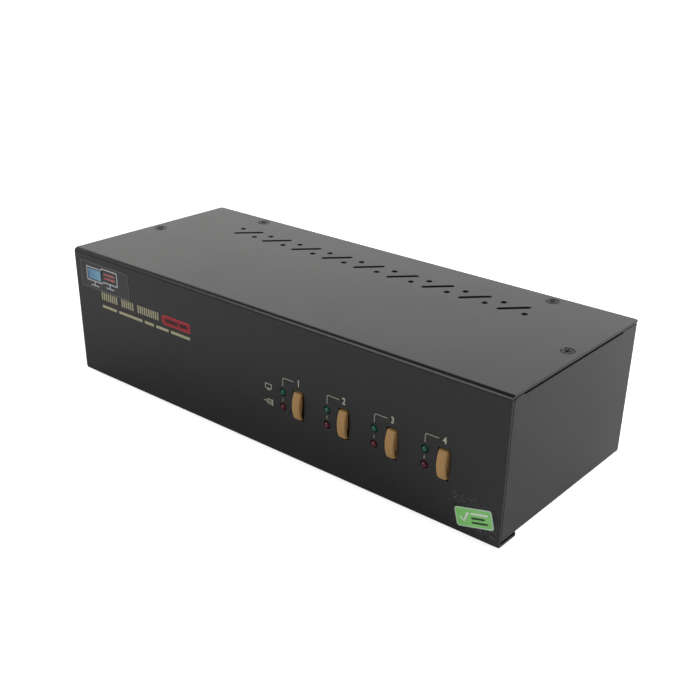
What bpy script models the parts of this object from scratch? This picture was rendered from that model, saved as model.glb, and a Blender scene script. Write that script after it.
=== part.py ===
"""A four-channel KVM switch with two screens for each computer, as an assembly of separate pieces.

Lengths are in metres. +X is to the right of someone facing the buttons, +Y goes from the front to the
back, and +Z is up. The origin is on the surface that the feet stand on, below the middle of the box that
holds the whole assembly.
"""

import math

import bmesh
import bpy

# Fits
FIT = 0.0003  # gap between pieces that touch
CUT_MARGIN = 0.001  # how far a cutter runs past what it cuts
JOIN = 0.0004  # how deep a joined feature reaches into its base

# Case
WIDTH = 0.272
DEPTH = 0.1075  # front face to the rear edge of the top
HEIGHT = 0.070  # underside of the lip to the top
COVER_SHEET = 0.0012
CHASSIS_SHEET = 0.0012
COVER_BEND = 0.0024  # outside radii
LIP_BEND = 0.0014
CHASSIS_BEND = 0.0020
FLANGE_BEND = 0.0026
LIP_DEPTH = 0.015
LIP_INSET = 0.0003
LIP_CLEARANCE = 0.0005
LIP_CORNER = 0.002
COVER_CORNER = 0.0015
FLANGE_WIDTH = 0.012
FLANGE_FRONT = 0.0096  # where the chassis flange starts behind the front face
FLANGE_REAR = 0.0160  # and ends in front of the top's rear edge
RELIEF_WIDTH = 0.0008
REAR_RECESS = 0.0015
REAR_FLANGE = 0.012
REAR_FOOT_FLANGE = 0.007
REAR_BEND = 0.0016

# Top vents
VENT_COUNT = 9
VENT_PITCH = 0.0216
VENT_FROM_REAR = 0.0262
VENT_SHIFT = -0.0005  # the row is punched a little left of the middle
VENT_SLOT_LENGTH = 0.0165
VENT_SLOT_WIDTH = 0.0024
VENT_SLOT_ANGLE = math.radians(46.5)
VENT_HOLE_RADIUS = 0.0015
VENT_HOLE_X = 0.0076
VENT_HOLE_Y = 0.0033

# Cover screws
SCREW_RADIUS = 0.0015
SCREW_LENGTH = 0.006
SCREW_TIP_RADIUS = 0.0009
SCREW_TIP_LENGTH = 0.00075
SCREW_CONE_SHARE = 0.7  # how far up the head's cone its middle ring lies
SCREW_HEAD_RADIUS = 0.00295
SCREW_HEAD_DEPTH = 0.0009
SCREW_HEAD_SINK = 0.0001
SCREW_CROSS_LENGTH = 0.0034
SCREW_CROSS_WIDTH = 0.0008
SCREW_CROSS_DEPTH = 0.0006
SIDE_SCREW_INSET = 0.0066
REAR_SCREW_SIDE = 0.0412
REAR_SCREW_INSET = 0.0061

# Feet
FOOT_RADIUS = 0.006
FOOT_TOP_RADIUS = 0.0065
FOOT_HEIGHT = 0.0042
FOOT_SIDE = 0.016
FOOT_BEHIND_LIP = 0.003
FOOT_REAR = 0.015

# Channels: a button, two LEDs and a switch each
CHANNEL_COUNT = 4
CHANNEL_PITCH = 0.0271
LAST_BUTTON_FROM_SIDE = 0.0297
BUTTON_WIDTH = 0.0050
BUTTON_HEIGHT = 0.0136
BUTTON_CENTRE = 0.0293  # above the cover's lower edge
BUTTON_PROUD = 0.0025
BUTTON_ARC_RISE = 0.0016
BUTTON_EDGE = 0.0008
BUTTON_GAP = 0.0006  # between the cap and its slot
BUTTON_TRAVEL = 0.0010
BUTTON_FLANGE_RIM = 0.0011
BUTTON_FLANGE = 0.0012
BUTTON_STEM = 0.0034
BUTTON_STEM_LENGTH = 0.0020
SLOT_CORNER = 0.0007
PLUNGER_RADIUS = 0.0016
PLUNGER_PROUD = 0.0016
PLUNGER_HELD = 0.0005
SWITCH_SIDE = 0.006
SWITCH_DEPTH = 0.0036
LED_TO_BUTTON = 0.0098
LED_RADIUS = 0.0015
LED_HOLE_GAP = 0.0004
LED_LENGTH = 0.0053
LED_RIM = 0.0003
LED_RIM_DEPTH = 0.0010
LED_PROUD = 0.0009
LED_UPPER = 0.0331  # above the cover's lower edge
LED_LOWER = 0.0256
LEAD_SIDE = 0.0005
LEAD_SPACING = 0.00254
FRONT_BOARD_MARGIN = 0.008
FRONT_BOARD_RISE = 0.007  # above the video board that it plugs into

# Boards and their supports
BOARD = 0.0016
BOARD_SIDE_GAP = 0.0012
BOARD_REAR_GAP = 0.0010
SUPPORT_HEIGHT = 0.006
SUPPORT_RADIUS = 0.003
SUPPORT_BORE = 0.0015
SUPPORT_BORE_DEPTH = 0.004
SUPPORT_FROM_SIDE = 0.009
SUPPORT_FROM_REAR = 0.022
SUPPORT_FROM_FRONT = 0.008
SPACER_RADIUS = 0.0028
SPACER_STUD_RADIUS = 0.0012
SPACER_STUD = 0.0044
BOARD_HOLE_RADIUS = 0.0016
SOCKET_HEADROOM = 0.004  # between the tallest sockets and the rear panel's flange

# Sockets: width, height and depth of each kind's housing
SCREEN_COUNT = 5  # one column for each computer and one for the desk
DVI_WIDTH = 0.0384
DVI_HEIGHT = 0.0124
DVI_FLANGE = 0.0010
DVI_BODY_WIDTH = 0.0262
DVI_DEPTH = 0.014
DVI_SHELL_WIDTH = 0.0246
DVI_SHELL_HEIGHT = 0.0084
DVI_SHELL_CHAMFER = 0.0022
DVI_SHELL_PROUD = 0.0042
DVI_NUT_SPACING = 0.0316
DVI_NUT_RADIUS = 0.0027
DVI_NUT_PROUD = 0.0048
DVI_SHANK_RADIUS = 0.0013
USB_B_WIDTH = 0.0120
USB_B_HEIGHT = 0.0108
USB_B_DEPTH = 0.016
USB_B_MOUTH = 0.0085
USB_B_MOUTH_HEIGHT = 0.0078
USB_B_CHAMFER = 0.0016
USB_B_TONGUE = 0.0056
USB_B_TONGUE_HEIGHT = 0.0032
USB_A_WIDTH = 0.0132
USB_A_HEIGHT = 0.0156
USB_A_DEPTH = 0.0175
USB_A_MOUTH = 0.0124
USB_A_MOUTH_HEIGHT = 0.0051
USB_A_PITCH = 0.0077
USB_A_TONGUE_HEIGHT = 0.0018
USB_A_TONGUE_WIDTH = 0.0110
USB_MOUTH_DEPTH = 0.0090
USB_PROUD = 0.0008
AUDIO_WIDTH = 0.008
AUDIO_HEIGHT = 0.022
AUDIO_DEPTH = 0.012
AUDIO_PITCH = 0.0105
AUDIO_BARREL_RADIUS = 0.0031
AUDIO_BORE_RADIUS = 0.0018
AUDIO_BORE_DEPTH = 0.010
AUDIO_PROUD = 0.0010
POWER_WIDTH = 0.009
POWER_HEIGHT = 0.011
POWER_DEPTH = 0.014
POWER_BARREL_RADIUS = 0.0042
POWER_BORE_RADIUS = 0.0032
POWER_PIN_RADIUS = 0.0010
POWER_BORE_DEPTH = 0.010
POWER_PROUD = 0.0008

# Roundness
ARC_STEPS = 6
HOLE_SIDES = 12
ROUND_SIDES = 20

# Levels and planes that follow from the sizes above
FRONT = BUTTON_PROUD - (BUTTON_PROUD + DEPTH - REAR_RECESS + DVI_NUT_PROUD) / 2
BACK = FRONT + DEPTH
REAR_FACE = BACK - REAR_RECESS
PANEL_INSIDE = REAR_FACE - CHASSIS_SHEET
CHASSIS_BOTTOM = FOOT_HEIGHT + FIT
COVER_BOTTOM = CHASSIS_BOTTOM - COVER_SHEET - LIP_CLEARANCE
TOP = COVER_BOTTOM + HEIGHT
CHASSIS_TOP = TOP - COVER_SHEET - FIT
CHASSIS_FRONT = FRONT + COVER_SHEET + FIT
CHASSIS_INSIDE = WIDTH / 2 - CHASSIS_SHEET
FLOOR = CHASSIS_BOTTOM + CHASSIS_SHEET
MAIN_BOARD = FLOOR + SUPPORT_HEIGHT + FIT
MAIN_TOP = MAIN_BOARD + BOARD
VIDEO_TOP = CHASSIS_TOP - CHASSIS_SHEET - SOCKET_HEADROOM - AUDIO_HEIGHT - FIT
VIDEO_BOARD = VIDEO_TOP - BOARD
SPACER_LENGTH = VIDEO_BOARD - MAIN_TOP - 2 * FIT
BUTTON_Z = COVER_BOTTOM + BUTTON_CENTRE
FLANGE_Y = FRONT + COVER_SHEET + FIT
STEM_Y = FLANGE_Y + BUTTON_FLANGE
PLUNGER_Y = STEM_Y + BUTTON_STEM_LENGTH + FIT
SWITCH_Y = PLUNGER_Y + PLUNGER_PROUD
FRONT_BOARD = SWITCH_Y + SWITCH_DEPTH + FIT
BOARD_FRONT = FRONT_BOARD + BOARD + FIT
BOARD_REAR = PANEL_INSIDE - BOARD_REAR_GAP
BOARD_HALF = CHASSIS_INSIDE - BOARD_SIDE_GAP
SLOT_HALF_WIDTH = BUTTON_WIDTH / 2 + BUTTON_GAP
SLOT_HALF_HEIGHT = BUTTON_HEIGHT / 2 + BUTTON_GAP

# Each plane gives the axes that an outline's two numbers run along, and the axis it is extruded along.
PLANES = {"XY": (0, 1, 2), "XZ": (0, 2, 1), "YZ": (1, 2, 0)}


def place(plane, first, second, depth):
    """The point with these two outline numbers, at this depth along the plane's normal axis."""
    point = [0.0, 0.0, 0.0]
    for axis, value in zip(PLANES[plane], (first, second, depth)):
        point[axis] = value
    return point


def rectangle(u_low, u_high, v_low, v_high):
    return [(u_low, v_low), (u_high, v_low), (u_high, v_high), (u_low, v_high)]


def arc(centre, radius, start, end, steps):
    """Points along a circular arc, angles in degrees."""
    turns = [math.radians(start + (end - start) * step / steps) for step in range(steps + 1)]
    return [(centre[0] + radius * math.cos(t), centre[1] + radius * math.sin(t)) for t in turns]


def circle(centre, radius, sides):
    return arc(centre, radius, 0, 360 * (sides - 1) / sides, sides - 1)


def rounded_rectangle(u_low, u_high, v_low, v_high, radius, steps=3):
    corners = ((u_high, v_high, 0), (u_low, v_high, 90), (u_low, v_low, 180), (u_high, v_low, 270))
    outline = []
    for u, v, start in corners:
        centre = (u - radius * (1 if u == u_high else -1), v - radius * (1 if v == v_high else -1))
        outline += arc(centre, radius, start, start + 90, steps)
    return outline


def capsule(centre, length, width, angle, steps=ARC_STEPS):
    """A slot's outline: two half circles joined by straight sides, turned by an angle in radians."""
    reach = (length - width) / 2
    outline = []
    for side, start in ((1, -90), (-1, 90)):
        end = (centre[0] + side * reach * math.cos(angle), centre[1] + side * reach * math.sin(angle))
        turn = math.degrees(angle)
        outline += arc(end, width / 2, start + turn, start + 180 + turn, steps)
    return outline


def bent_sheet(corners, radii, thickness):
    """The closed outline of a sheet folded along a path that always turns left.

    The path is the sheet's outer face, and each inner corner has an outside bend radius, or 0 for a
    sharp one.
    """
    outer, inner = [corners[0]], []
    directions = []
    for (u0, v0), (u1, v1) in zip(corners, corners[1:]):
        length = math.hypot(u1 - u0, v1 - v0)
        directions.append(((u1 - u0) / length, (v1 - v0) / length))

    def inward(direction, distance):
        return -direction[1] * distance, direction[0] * distance

    offset = inward(directions[0], thickness)
    inner.append((corners[0][0] + offset[0], corners[0][1] + offset[1]))
    for corner, radius, before, after in zip(corners[1:-1], radii, directions, directions[1:]):
        start = math.degrees(math.atan2(before[1], before[0])) - 90
        reach = radius if radius else thickness
        centre = (
            corner[0] + inward(before, reach)[0] + inward(after, reach)[0],
            corner[1] + inward(before, reach)[1] + inward(after, reach)[1],
        )
        if radius:
            outer += arc(centre, radius, start, start + 90, ARC_STEPS)
            inner += arc(centre, radius - thickness, start, start + 90, ARC_STEPS)
        else:
            outer.append(corner)
            inner.append(centre)
    offset = inward(directions[-1], thickness)
    outer.append(corners[-1])
    inner.append((corners[-1][0] + offset[0], corners[-1][1] + offset[1]))
    return outer + inner[::-1]


def add_prism(mesh, plane, outline, low, high):
    """Adds an outline extruded from one depth to another to a bmesh."""
    verts = [mesh.verts.new(place(plane, u, v, low)) for u, v in outline]
    base = mesh.faces.new(verts)
    grown = bmesh.ops.extrude_face_region(mesh, geom=[base])["geom"]
    shift = place(plane, 0, 0, high - low)
    moved = [part for part in grown if isinstance(part, bmesh.types.BMVert)]
    bmesh.ops.translate(mesh, verts=moved, vec=shift)


def add_lathe(mesh, axis_plane, centre, profile, sides):
    """Adds a turned body: the profile's (radius, depth) pairs run round an axis through the centre.

    A radius of 0 at either end closes the body on the axis.
    """
    rings = []
    for radius, depth in profile:
        if radius == 0:
            rings.append([mesh.verts.new(place(axis_plane, *centre, depth))])
        else:
            ring = circle(centre, radius, sides)
            rings.append([mesh.verts.new(place(axis_plane, u, v, depth)) for u, v in ring])
    for lower, upper in zip(rings, rings[1:]):
        for side in range(sides):
            after = (side + 1) % sides
            if len(lower) == 1:
                mesh.faces.new((lower[0], upper[side], upper[after]))
            elif len(upper) == 1:
                mesh.faces.new((lower[side], lower[after], upper[0]))
            else:
                mesh.faces.new((lower[side], lower[after], upper[after], upper[side]))


def prism(plane, outline, low, high):
    """A recipe for add_prism, run when the body's mesh is made."""
    return lambda mesh: add_prism(mesh, plane, outline, low, high)


def box(x, y, z):
    return prism("XY", rectangle(*x, *y), *z)


def cylinder(plane, centre, radius, low, high, sides=HOLE_SIDES):
    return prism(plane, circle(centre, radius, sides), low, high)


def lathe(plane, centre, profile, sides=ROUND_SIDES):
    return lambda mesh: add_lathe(mesh, plane, centre, profile, sides)


def mesh_object(name, recipes, origin):
    """An object whose mesh holds every recipe's body, with its origin at the given point."""
    body = bmesh.new()
    for recipe in recipes:
        recipe(body)
    bmesh.ops.recalc_face_normals(body, faces=body.faces)
    bmesh.ops.translate(body, verts=body.verts, vec=[-value for value in origin])
    data = bpy.data.meshes.new(name)
    body.to_mesh(data)
    body.free()
    made = bpy.data.objects.new(name, data)
    made.location = origin
    bpy.context.scene.collection.objects.link(made)
    return made


def boolean(target, recipes, operation):
    """Joins or cuts the target with one hidden operand that holds all the recipes' bodies."""
    operand = mesh_object(f"{target.name}_{operation.lower()}", recipes, target.location)
    operand.hide_render = True
    operand.display_type = "WIRE"
    modifier = target.modifiers.new(operation.title(), "BOOLEAN")
    modifier.operation = operation
    modifier.object = operand
    modifier.use_self = True
    return operand


def piece(name, paint, base, joined=(), cut=(), origin=(0, 0, 0), smooth=None):
    """One named piece: a base body, what is joined to it, and then what is cut from it."""
    made = mesh_object(name, [base], origin)
    made.data.materials.append(paint)
    if joined:
        boolean(made, joined, "UNION")
    if cut:
        boolean(made, cut, "DIFFERENCE")
    if smooth:
        made.data.shade_smooth()
        made.data.set_sharp_from_angle(angle=smooth)
    return made


def material(name, colour, roughness, metallic=0.0):
    made = bpy.data.materials.new(name)
    made.use_nodes = True
    shader = made.node_tree.nodes["Principled BSDF"]
    shader.inputs["Base Color"].default_value = (*colour, 1.0)
    shader.inputs["Roughness"].default_value = roughness
    shader.inputs["Metallic"].default_value = metallic
    made.diffuse_color = (*colour, 1.0)
    return made


def mirrored(*values):
    """Each value with its negative."""
    return [sign * value for value in values for sign in (-1, 1)]


def channel_x(channel):
    """The middle of a channel's button, counting channels from 1 at the left."""
    return WIDTH / 2 - LAST_BUTTON_FROM_SIDE - (CHANNEL_COUNT - channel) * CHANNEL_PITCH


def screw_places():
    """The cover screws: two over the chassis's side flanges, two over the rear panel's flange."""
    side_x = WIDTH / 2 - SIDE_SCREW_INSET
    rear_x = WIDTH / 2 - REAR_SCREW_SIDE
    middle = FRONT + DEPTH / 2
    rear = BACK - REAR_SCREW_INSET
    return [(-side_x, middle), (side_x, middle), (-rear_x, rear), (rear_x, rear)]


def support_places():
    side_x = BOARD_HALF - SUPPORT_FROM_SIDE
    return [
        (x, y)
        for y in (BOARD_FRONT + SUPPORT_FROM_FRONT, BOARD_REAR - SUPPORT_FROM_REAR)
        for x in (-side_x, side_x)
    ]


def socket_row():
    """Where each column of sockets is along X: the power and desk audio column at the left, then four
    computer columns and the desk's, each a narrow socket with a screen socket on its right."""
    kinds = [("power", POWER_WIDTH)]
    for column in range(1, SCREEN_COUNT + 1):
        desk = column == SCREEN_COUNT
        kinds.append((f"narrow_{column}", USB_A_WIDTH if desk else USB_B_WIDTH))
        kinds.append((f"screen_{column}", DVI_WIDTH))
    taken = sum(width for _, width in kinds)
    gap = (2 * CHASSIS_INSIDE - taken) / (len(kinds) + 1)
    places, edge = {}, -CHASSIS_INSIDE
    for kind, width in kinds:
        edge += gap
        places[kind] = edge + width / 2
        edge += width
    return places


def dvi_outline(x, z, grow=0.0):
    """The screen socket's shell: a rectangle with its lower corners cut off."""
    half, rise = DVI_SHELL_WIDTH / 2 + grow, DVI_SHELL_HEIGHT / 2 + grow
    cut = DVI_SHELL_CHAMFER
    return [
        (x - half + cut, z - rise), (x + half - cut, z - rise), (x + half, z - rise + cut),
        (x + half, z + rise), (x - half, z + rise), (x - half, z - rise + cut),
    ]


def usb_b_mouth(x, z):
    half, rise, cut = USB_B_MOUTH / 2, USB_B_MOUTH_HEIGHT / 2, USB_B_CHAMFER
    return [
        (x - half, z - rise), (x + half, z - rise), (x + half, z + rise - cut),
        (x + half - cut, z + rise), (x - half + cut, z + rise), (x - half, z + rise - cut),
    ]


def make_cover(paint):
    """The top, the front and the return lip, bent from one sheet."""
    path = [
        (BACK, TOP), (FRONT, TOP), (FRONT, COVER_BOTTOM), (FRONT + LIP_DEPTH, COVER_BOTTOM),
    ]
    half = WIDTH / 2
    profile = bent_sheet(path, (COVER_BEND, LIP_BEND), COVER_SHEET)
    cuts = []
    slot_y = BACK - VENT_FROM_REAR
    through = (TOP - COVER_SHEET - CUT_MARGIN, TOP + CUT_MARGIN)
    for vent in range(VENT_COUNT):
        x = VENT_SHIFT + (vent - (VENT_COUNT - 1) / 2) * VENT_PITCH
        outline = capsule((x, slot_y), VENT_SLOT_LENGTH, VENT_SLOT_WIDTH, VENT_SLOT_ANGLE, 4)
        cuts.append(prism("XY", outline, *through))
        for side in (-1, 1):
            centre = (x + side * VENT_HOLE_X, slot_y - side * VENT_HOLE_Y)
            cuts.append(cylinder("XY", centre, VENT_HOLE_RADIUS, *through))
    for place_xy in screw_places():
        cuts.append(lathe("XY", place_xy, countersink(FIT), HOLE_SIDES))
    ahead = (FRONT - CUT_MARGIN, FRONT + COVER_SHEET + CUT_MARGIN)
    for channel in range(1, CHANNEL_COUNT + 1):
        x = channel_x(channel)
        outline = rounded_rectangle(
            x - SLOT_HALF_WIDTH, x + SLOT_HALF_WIDTH,
            BUTTON_Z - SLOT_HALF_HEIGHT, BUTTON_Z + SLOT_HALF_HEIGHT, SLOT_CORNER,
        )
        cuts.append(prism("XZ", outline, *ahead))
        for level in (LED_UPPER, LED_LOWER):
            centre = (x - LED_TO_BUTTON, COVER_BOTTOM + level)
            cuts.append(cylinder("XZ", centre, LED_RADIUS + LED_HOLE_GAP, *ahead, 16))
    under = (COVER_BOTTOM - CUT_MARGIN, COVER_BOTTOM + LIP_BEND)
    for side in (-1, 1):
        inner, outer = half - LIP_INSET, half + CUT_MARGIN
        lip_end = FRONT + LIP_DEPTH
        corner = (inner - LIP_CORNER, lip_end - LIP_CORNER)
        outline = [(inner, FRONT - CUT_MARGIN), (outer, FRONT - CUT_MARGIN), (outer, lip_end + CUT_MARGIN)]
        outline += [(corner[0], lip_end + CUT_MARGIN)]
        outline += arc(corner, LIP_CORNER, 90, 0, ARC_STEPS)
        cuts.append(prism("XY", [(side * x, y) for x, y in outline], *under))
        centre = (half - COVER_CORNER, BACK - COVER_CORNER)
        outline = [(half + CUT_MARGIN, centre[1]), (half + CUT_MARGIN, BACK + CUT_MARGIN)]
        outline += [(centre[0], BACK + CUT_MARGIN)]
        outline += arc(centre, COVER_CORNER, 90, 0, 4)
        cuts.append(prism("XY", [(side * x, y) for x, y in outline], *through))
    piece("top_front_cover", paint, prism("YZ", profile, -half, half), cut=cuts)


def countersink(gap):
    """The profile of a screw's seat in the cover, with a gap round the screw."""
    neck = SCREW_RADIUS + gap
    mouth = SCREW_HEAD_RADIUS + gap
    low = TOP - SCREW_HEAD_SINK - SCREW_HEAD_DEPTH - gap
    return [
        (0, TOP - COVER_SHEET - CUT_MARGIN), (neck, TOP - COVER_SHEET - CUT_MARGIN), (neck, low),
        (mouth, TOP - SCREW_HEAD_SINK), (mouth, TOP + CUT_MARGIN), (0, TOP + CUT_MARGIN),
    ]


def make_chassis(paint):
    """The bottom, the two sides and their flanges, bent from one sheet, with pressed-in supports."""
    half = WIDTH / 2
    path = [
        (-half + FLANGE_WIDTH, CHASSIS_TOP), (-half, CHASSIS_TOP), (-half, CHASSIS_BOTTOM),
        (half, CHASSIS_BOTTOM), (half, CHASSIS_TOP), (half - FLANGE_WIDTH, CHASSIS_TOP),
    ]
    profile = bent_sheet(path, (0, CHASSIS_BEND, CHASSIS_BEND, 0), CHASSIS_SHEET)
    start, end = CHASSIS_FRONT, REAR_FACE
    flange_start, flange_end = FRONT + FLANGE_FRONT, BACK - FLANGE_REAR
    over = CHASSIS_TOP + CUT_MARGIN
    joined, cuts = [], []
    for x, y in support_places():
        joined.append(cylinder("XY", (x, y), SUPPORT_RADIUS, FLOOR - JOIN, FLOOR + SUPPORT_HEIGHT))
        bore = (FLOOR + SUPPORT_HEIGHT - SUPPORT_BORE_DEPTH, MAIN_BOARD)
        cuts.append(cylinder("XY", (x, y), SUPPORT_BORE, *bore))
    for x, y in screw_places()[:2]:
        depth = (CHASSIS_TOP - CHASSIS_SHEET - CUT_MARGIN, over)
        cuts.append(cylinder("XY", (x, y), SCREW_RADIUS + FIT, *depth))
    for side in (-1, 1):
        centre = (half - FLANGE_BEND, CHASSIS_TOP - FLANGE_BEND)
        outline = [(half + CUT_MARGIN, centre[1]), (half + CUT_MARGIN, over), (centre[0], over)]
        outline += arc(centre, FLANGE_BEND, 90, 0, ARC_STEPS)
        cuts.append(prism("XZ", [(side * x, z) for x, z in outline], flange_start, flange_end))
    inside = CHASSIS_INSIDE
    below = CHASSIS_TOP - CHASSIS_SHEET - JOIN
    ahead_of_flange = (start - CUT_MARGIN, flange_start - RELIEF_WIDTH)
    behind_flange = (flange_end + RELIEF_WIDTH, end + CUT_MARGIN)
    for y in (ahead_of_flange, behind_flange):
        cuts.append(box((-inside, inside), y, (below, over)))
    notch = CHASSIS_TOP - FLANGE_BEND - JOIN
    across = half + CUT_MARGIN
    for y in ((flange_start - RELIEF_WIDTH, flange_start), (flange_end, flange_end + RELIEF_WIDTH)):
        cuts.append(box((-across, across), y, (notch, over)))
    # The sheet's front corners are cut off to clear the inside of the cover's bends.
    clear = COVER_BEND - COVER_SHEET
    ahead = start - CUT_MARGIN
    for level, way in ((CHASSIS_TOP, 1), (CHASSIS_BOTTOM, -1)):
        outline = [
            (ahead, level + way * CUT_MARGIN), (start + clear + CUT_MARGIN, level + way * CUT_MARGIN),
            (ahead, level - way * (clear + CUT_MARGIN)),
        ]
        cuts.append(prism("YZ", outline, -across, across))
    piece("chassis", paint, prism("XZ", profile, start, end), joined, cuts)


def make_rear_panel(paint, row):
    """The punched back, with a top flange for two of the cover screws and a foot flange."""
    half = CHASSIS_INSIDE - FIT
    low, high = FLOOR + FIT, TOP - COVER_SHEET - FIT
    path = [
        (REAR_FACE - REAR_FOOT_FLANGE, low), (REAR_FACE, low),
        (REAR_FACE, high), (REAR_FACE - REAR_FLANGE, high),
    ]
    profile = bent_sheet(path, (REAR_BEND, REAR_BEND), CHASSIS_SHEET)
    through = (PANEL_INSIDE - CUT_MARGIN, REAR_FACE + CUT_MARGIN)
    cuts = []
    for column in range(1, SCREEN_COUNT + 1):
        x = row[f"screen_{column}"]
        for board in (MAIN_TOP, VIDEO_TOP):
            z = board + FIT + DVI_HEIGHT / 2
            cuts.append(prism("XZ", dvi_outline(x, z, FIT), *through))
            for nut in mirrored(DVI_NUT_SPACING / 2):
                cuts.append(cylinder("XZ", (x + nut, z), DVI_SHANK_RADIUS + FIT, *through, 8))
        x = row[f"narrow_{column}"]
        desk = column == SCREEN_COUNT
        width, height = (USB_A_WIDTH, USB_A_HEIGHT) if desk else (USB_B_WIDTH, USB_B_HEIGHT)
        cuts.append(socket_window(x, MAIN_TOP, width, height, through))
        if desk:
            cuts.append(socket_window(x, VIDEO_TOP, width, height, through))
        else:
            cuts += audio_windows(x, through)
    cuts += audio_windows(row["power"], through)
    centre = (row["power"], MAIN_TOP + FIT + POWER_HEIGHT / 2)
    cuts.append(cylinder("XZ", centre, POWER_BARREL_RADIUS + FIT, *through, 16))
    for x, y in screw_places()[2:]:
        depth = (high - CHASSIS_SHEET - CUT_MARGIN, high + CUT_MARGIN)
        cuts.append(cylinder("XY", (x, y), SCREW_RADIUS + FIT, *depth))
    piece("rear_panel", paint, prism("YZ", profile, -half, half), cut=cuts)


def socket_window(x, board, width, height, through):
    """The rear panel's opening round a USB socket's housing."""
    low = board + FIT
    return prism(
        "XZ", rectangle(x - width / 2 - FIT, x + width / 2 + FIT, low - FIT, low + height + FIT), *through
    )


def audio_levels():
    middle = VIDEO_TOP + FIT + AUDIO_HEIGHT / 2
    return [middle + step for step in mirrored(AUDIO_PITCH / 2)]


def audio_windows(x, through):
    return [cylinder("XZ", (x, z), AUDIO_BARREL_RADIUS + FIT, *through, 16) for z in audio_levels()]


def make_cover_screws(paint):
    top = TOP - SCREW_HEAD_SINK
    neck = top - SCREW_HEAD_DEPTH
    tip = top - SCREW_LENGTH
    rise = (SCREW_HEAD_RADIUS - SCREW_RADIUS) * SCREW_CONE_SHARE
    profile = [
        (0, tip), (SCREW_TIP_RADIUS, tip), (SCREW_RADIUS, tip + SCREW_TIP_LENGTH), (SCREW_RADIUS, neck),
        (SCREW_RADIUS + rise, neck + SCREW_HEAD_DEPTH * SCREW_CONE_SHARE),
        (SCREW_HEAD_RADIUS, top - SCREW_HEAD_SINK), (SCREW_HEAD_RADIUS, top), (0, top),
    ]
    arm, wide = SCREW_CROSS_LENGTH / 2, SCREW_CROSS_WIDTH / 2
    for number, (x, y) in enumerate(screw_places(), 1):
        cross = [
            (x + u, y + v)
            for u, v in (
                (wide, -arm), (wide, -wide), (arm, -wide), (arm, wide), (wide, wide), (wide, arm),
                (-wide, arm), (-wide, wide), (-arm, wide), (-arm, -wide), (-wide, -wide), (-wide, -arm),
            )
        ]
        recess = prism("XY", cross, top - SCREW_CROSS_DEPTH, top + CUT_MARGIN)
        name = f"cover_screw_{number}"
        piece(name, paint, lathe("XY", (x, y), profile, 12), cut=[recess], origin=(x, y, top))


def make_feet(paint):
    front_y = FRONT + LIP_DEPTH + FOOT_BEHIND_LIP + FOOT_TOP_RADIUS
    rear_y = REAR_FACE - FOOT_REAR
    profile = [
        (0, 0), (FOOT_RADIUS - JOIN, 0), (FOOT_RADIUS, JOIN),
        (FOOT_TOP_RADIUS, FOOT_HEIGHT), (0, FOOT_HEIGHT),
    ]
    places = [(x, y) for y in (front_y, rear_y) for x in mirrored(WIDTH / 2 - FOOT_SIDE)]
    for number, (x, y) in enumerate(places, 1):
        piece(f"rubber_foot_{number}", paint, lathe("XY", (x, y), profile), origin=(x, y, 0))


def button_profile():
    """The cap's side view: an arc across the front, from one end face to the other."""
    rise, half = BUTTON_ARC_RISE, BUTTON_HEIGHT / 2
    radius = (half * half + rise * rise) / (2 * rise)
    swing = math.degrees(math.asin(half / radius))
    centre = (FRONT - BUTTON_PROUD + radius, BUTTON_Z)
    front = arc(centre, radius, 180 - swing, 180 + swing, 12)
    return front + [(FLANGE_Y + JOIN, BUTTON_Z - half), (FLANGE_Y + JOIN, BUTTON_Z + half)]


def make_button(channel, paint):
    """A cap whose flange keeps it behind the front sheet, and whose stem meets the switch's plunger."""
    x = channel_x(channel)
    half = BUTTON_WIDTH / 2
    rim = BUTTON_GAP + BUTTON_FLANGE_RIM
    flange = box(
        (x - half - rim, x + half + rim), (FLANGE_Y, STEM_Y),
        (BUTTON_Z - BUTTON_HEIGHT / 2 - rim, BUTTON_Z + BUTTON_HEIGHT / 2 + rim),
    )
    side = BUTTON_STEM / 2
    stem = box((x - side, x + side), (STEM_Y - JOIN, PLUNGER_Y - FIT), (BUTTON_Z - side, BUTTON_Z + side))
    origin = (x, FRONT, BUTTON_Z)
    front = prism("YZ", button_profile(), x - half, x + half)
    cap = mesh_object(f"channel_button_{channel}", [front], origin)
    cap.data.materials.append(paint)
    edges = cap.modifiers.new("Edges", "BEVEL")
    edges.width = BUTTON_EDGE
    edges.segments = 2
    edges.limit_method = "ANGLE"
    edges.angle_limit = math.radians(40)
    boolean(cap, [flange, stem], "UNION")
    cap.data.shade_smooth()
    cap.data.set_sharp_from_angle(angle=math.radians(35))
    return cap


def make_switch(channel, paint, plunger_paint):
    """A tactile switch on the front board, and the plunger that its button presses."""
    x = channel_x(channel)
    side = SWITCH_SIDE / 2
    rear = SWITCH_Y + SWITCH_DEPTH
    body = box((x - side, x + side), (SWITCH_Y, rear), (BUTTON_Z - side, BUTTON_Z + side))
    bore_end = SWITCH_Y + PLUNGER_HELD + BUTTON_TRAVEL + FIT
    bore = cylinder("XZ", (x, BUTTON_Z), PLUNGER_RADIUS + FIT, SWITCH_Y - CUT_MARGIN, bore_end)
    piece(f"key_switch_{channel}", paint, body, cut=[bore], origin=(x, SWITCH_Y, BUTTON_Z))
    plunger = cylinder("XZ", (x, BUTTON_Z), PLUNGER_RADIUS, PLUNGER_Y, SWITCH_Y + PLUNGER_HELD)
    piece(f"key_plunger_{channel}", plunger_paint, plunger, origin=(x, PLUNGER_Y, BUTTON_Z))


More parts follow.
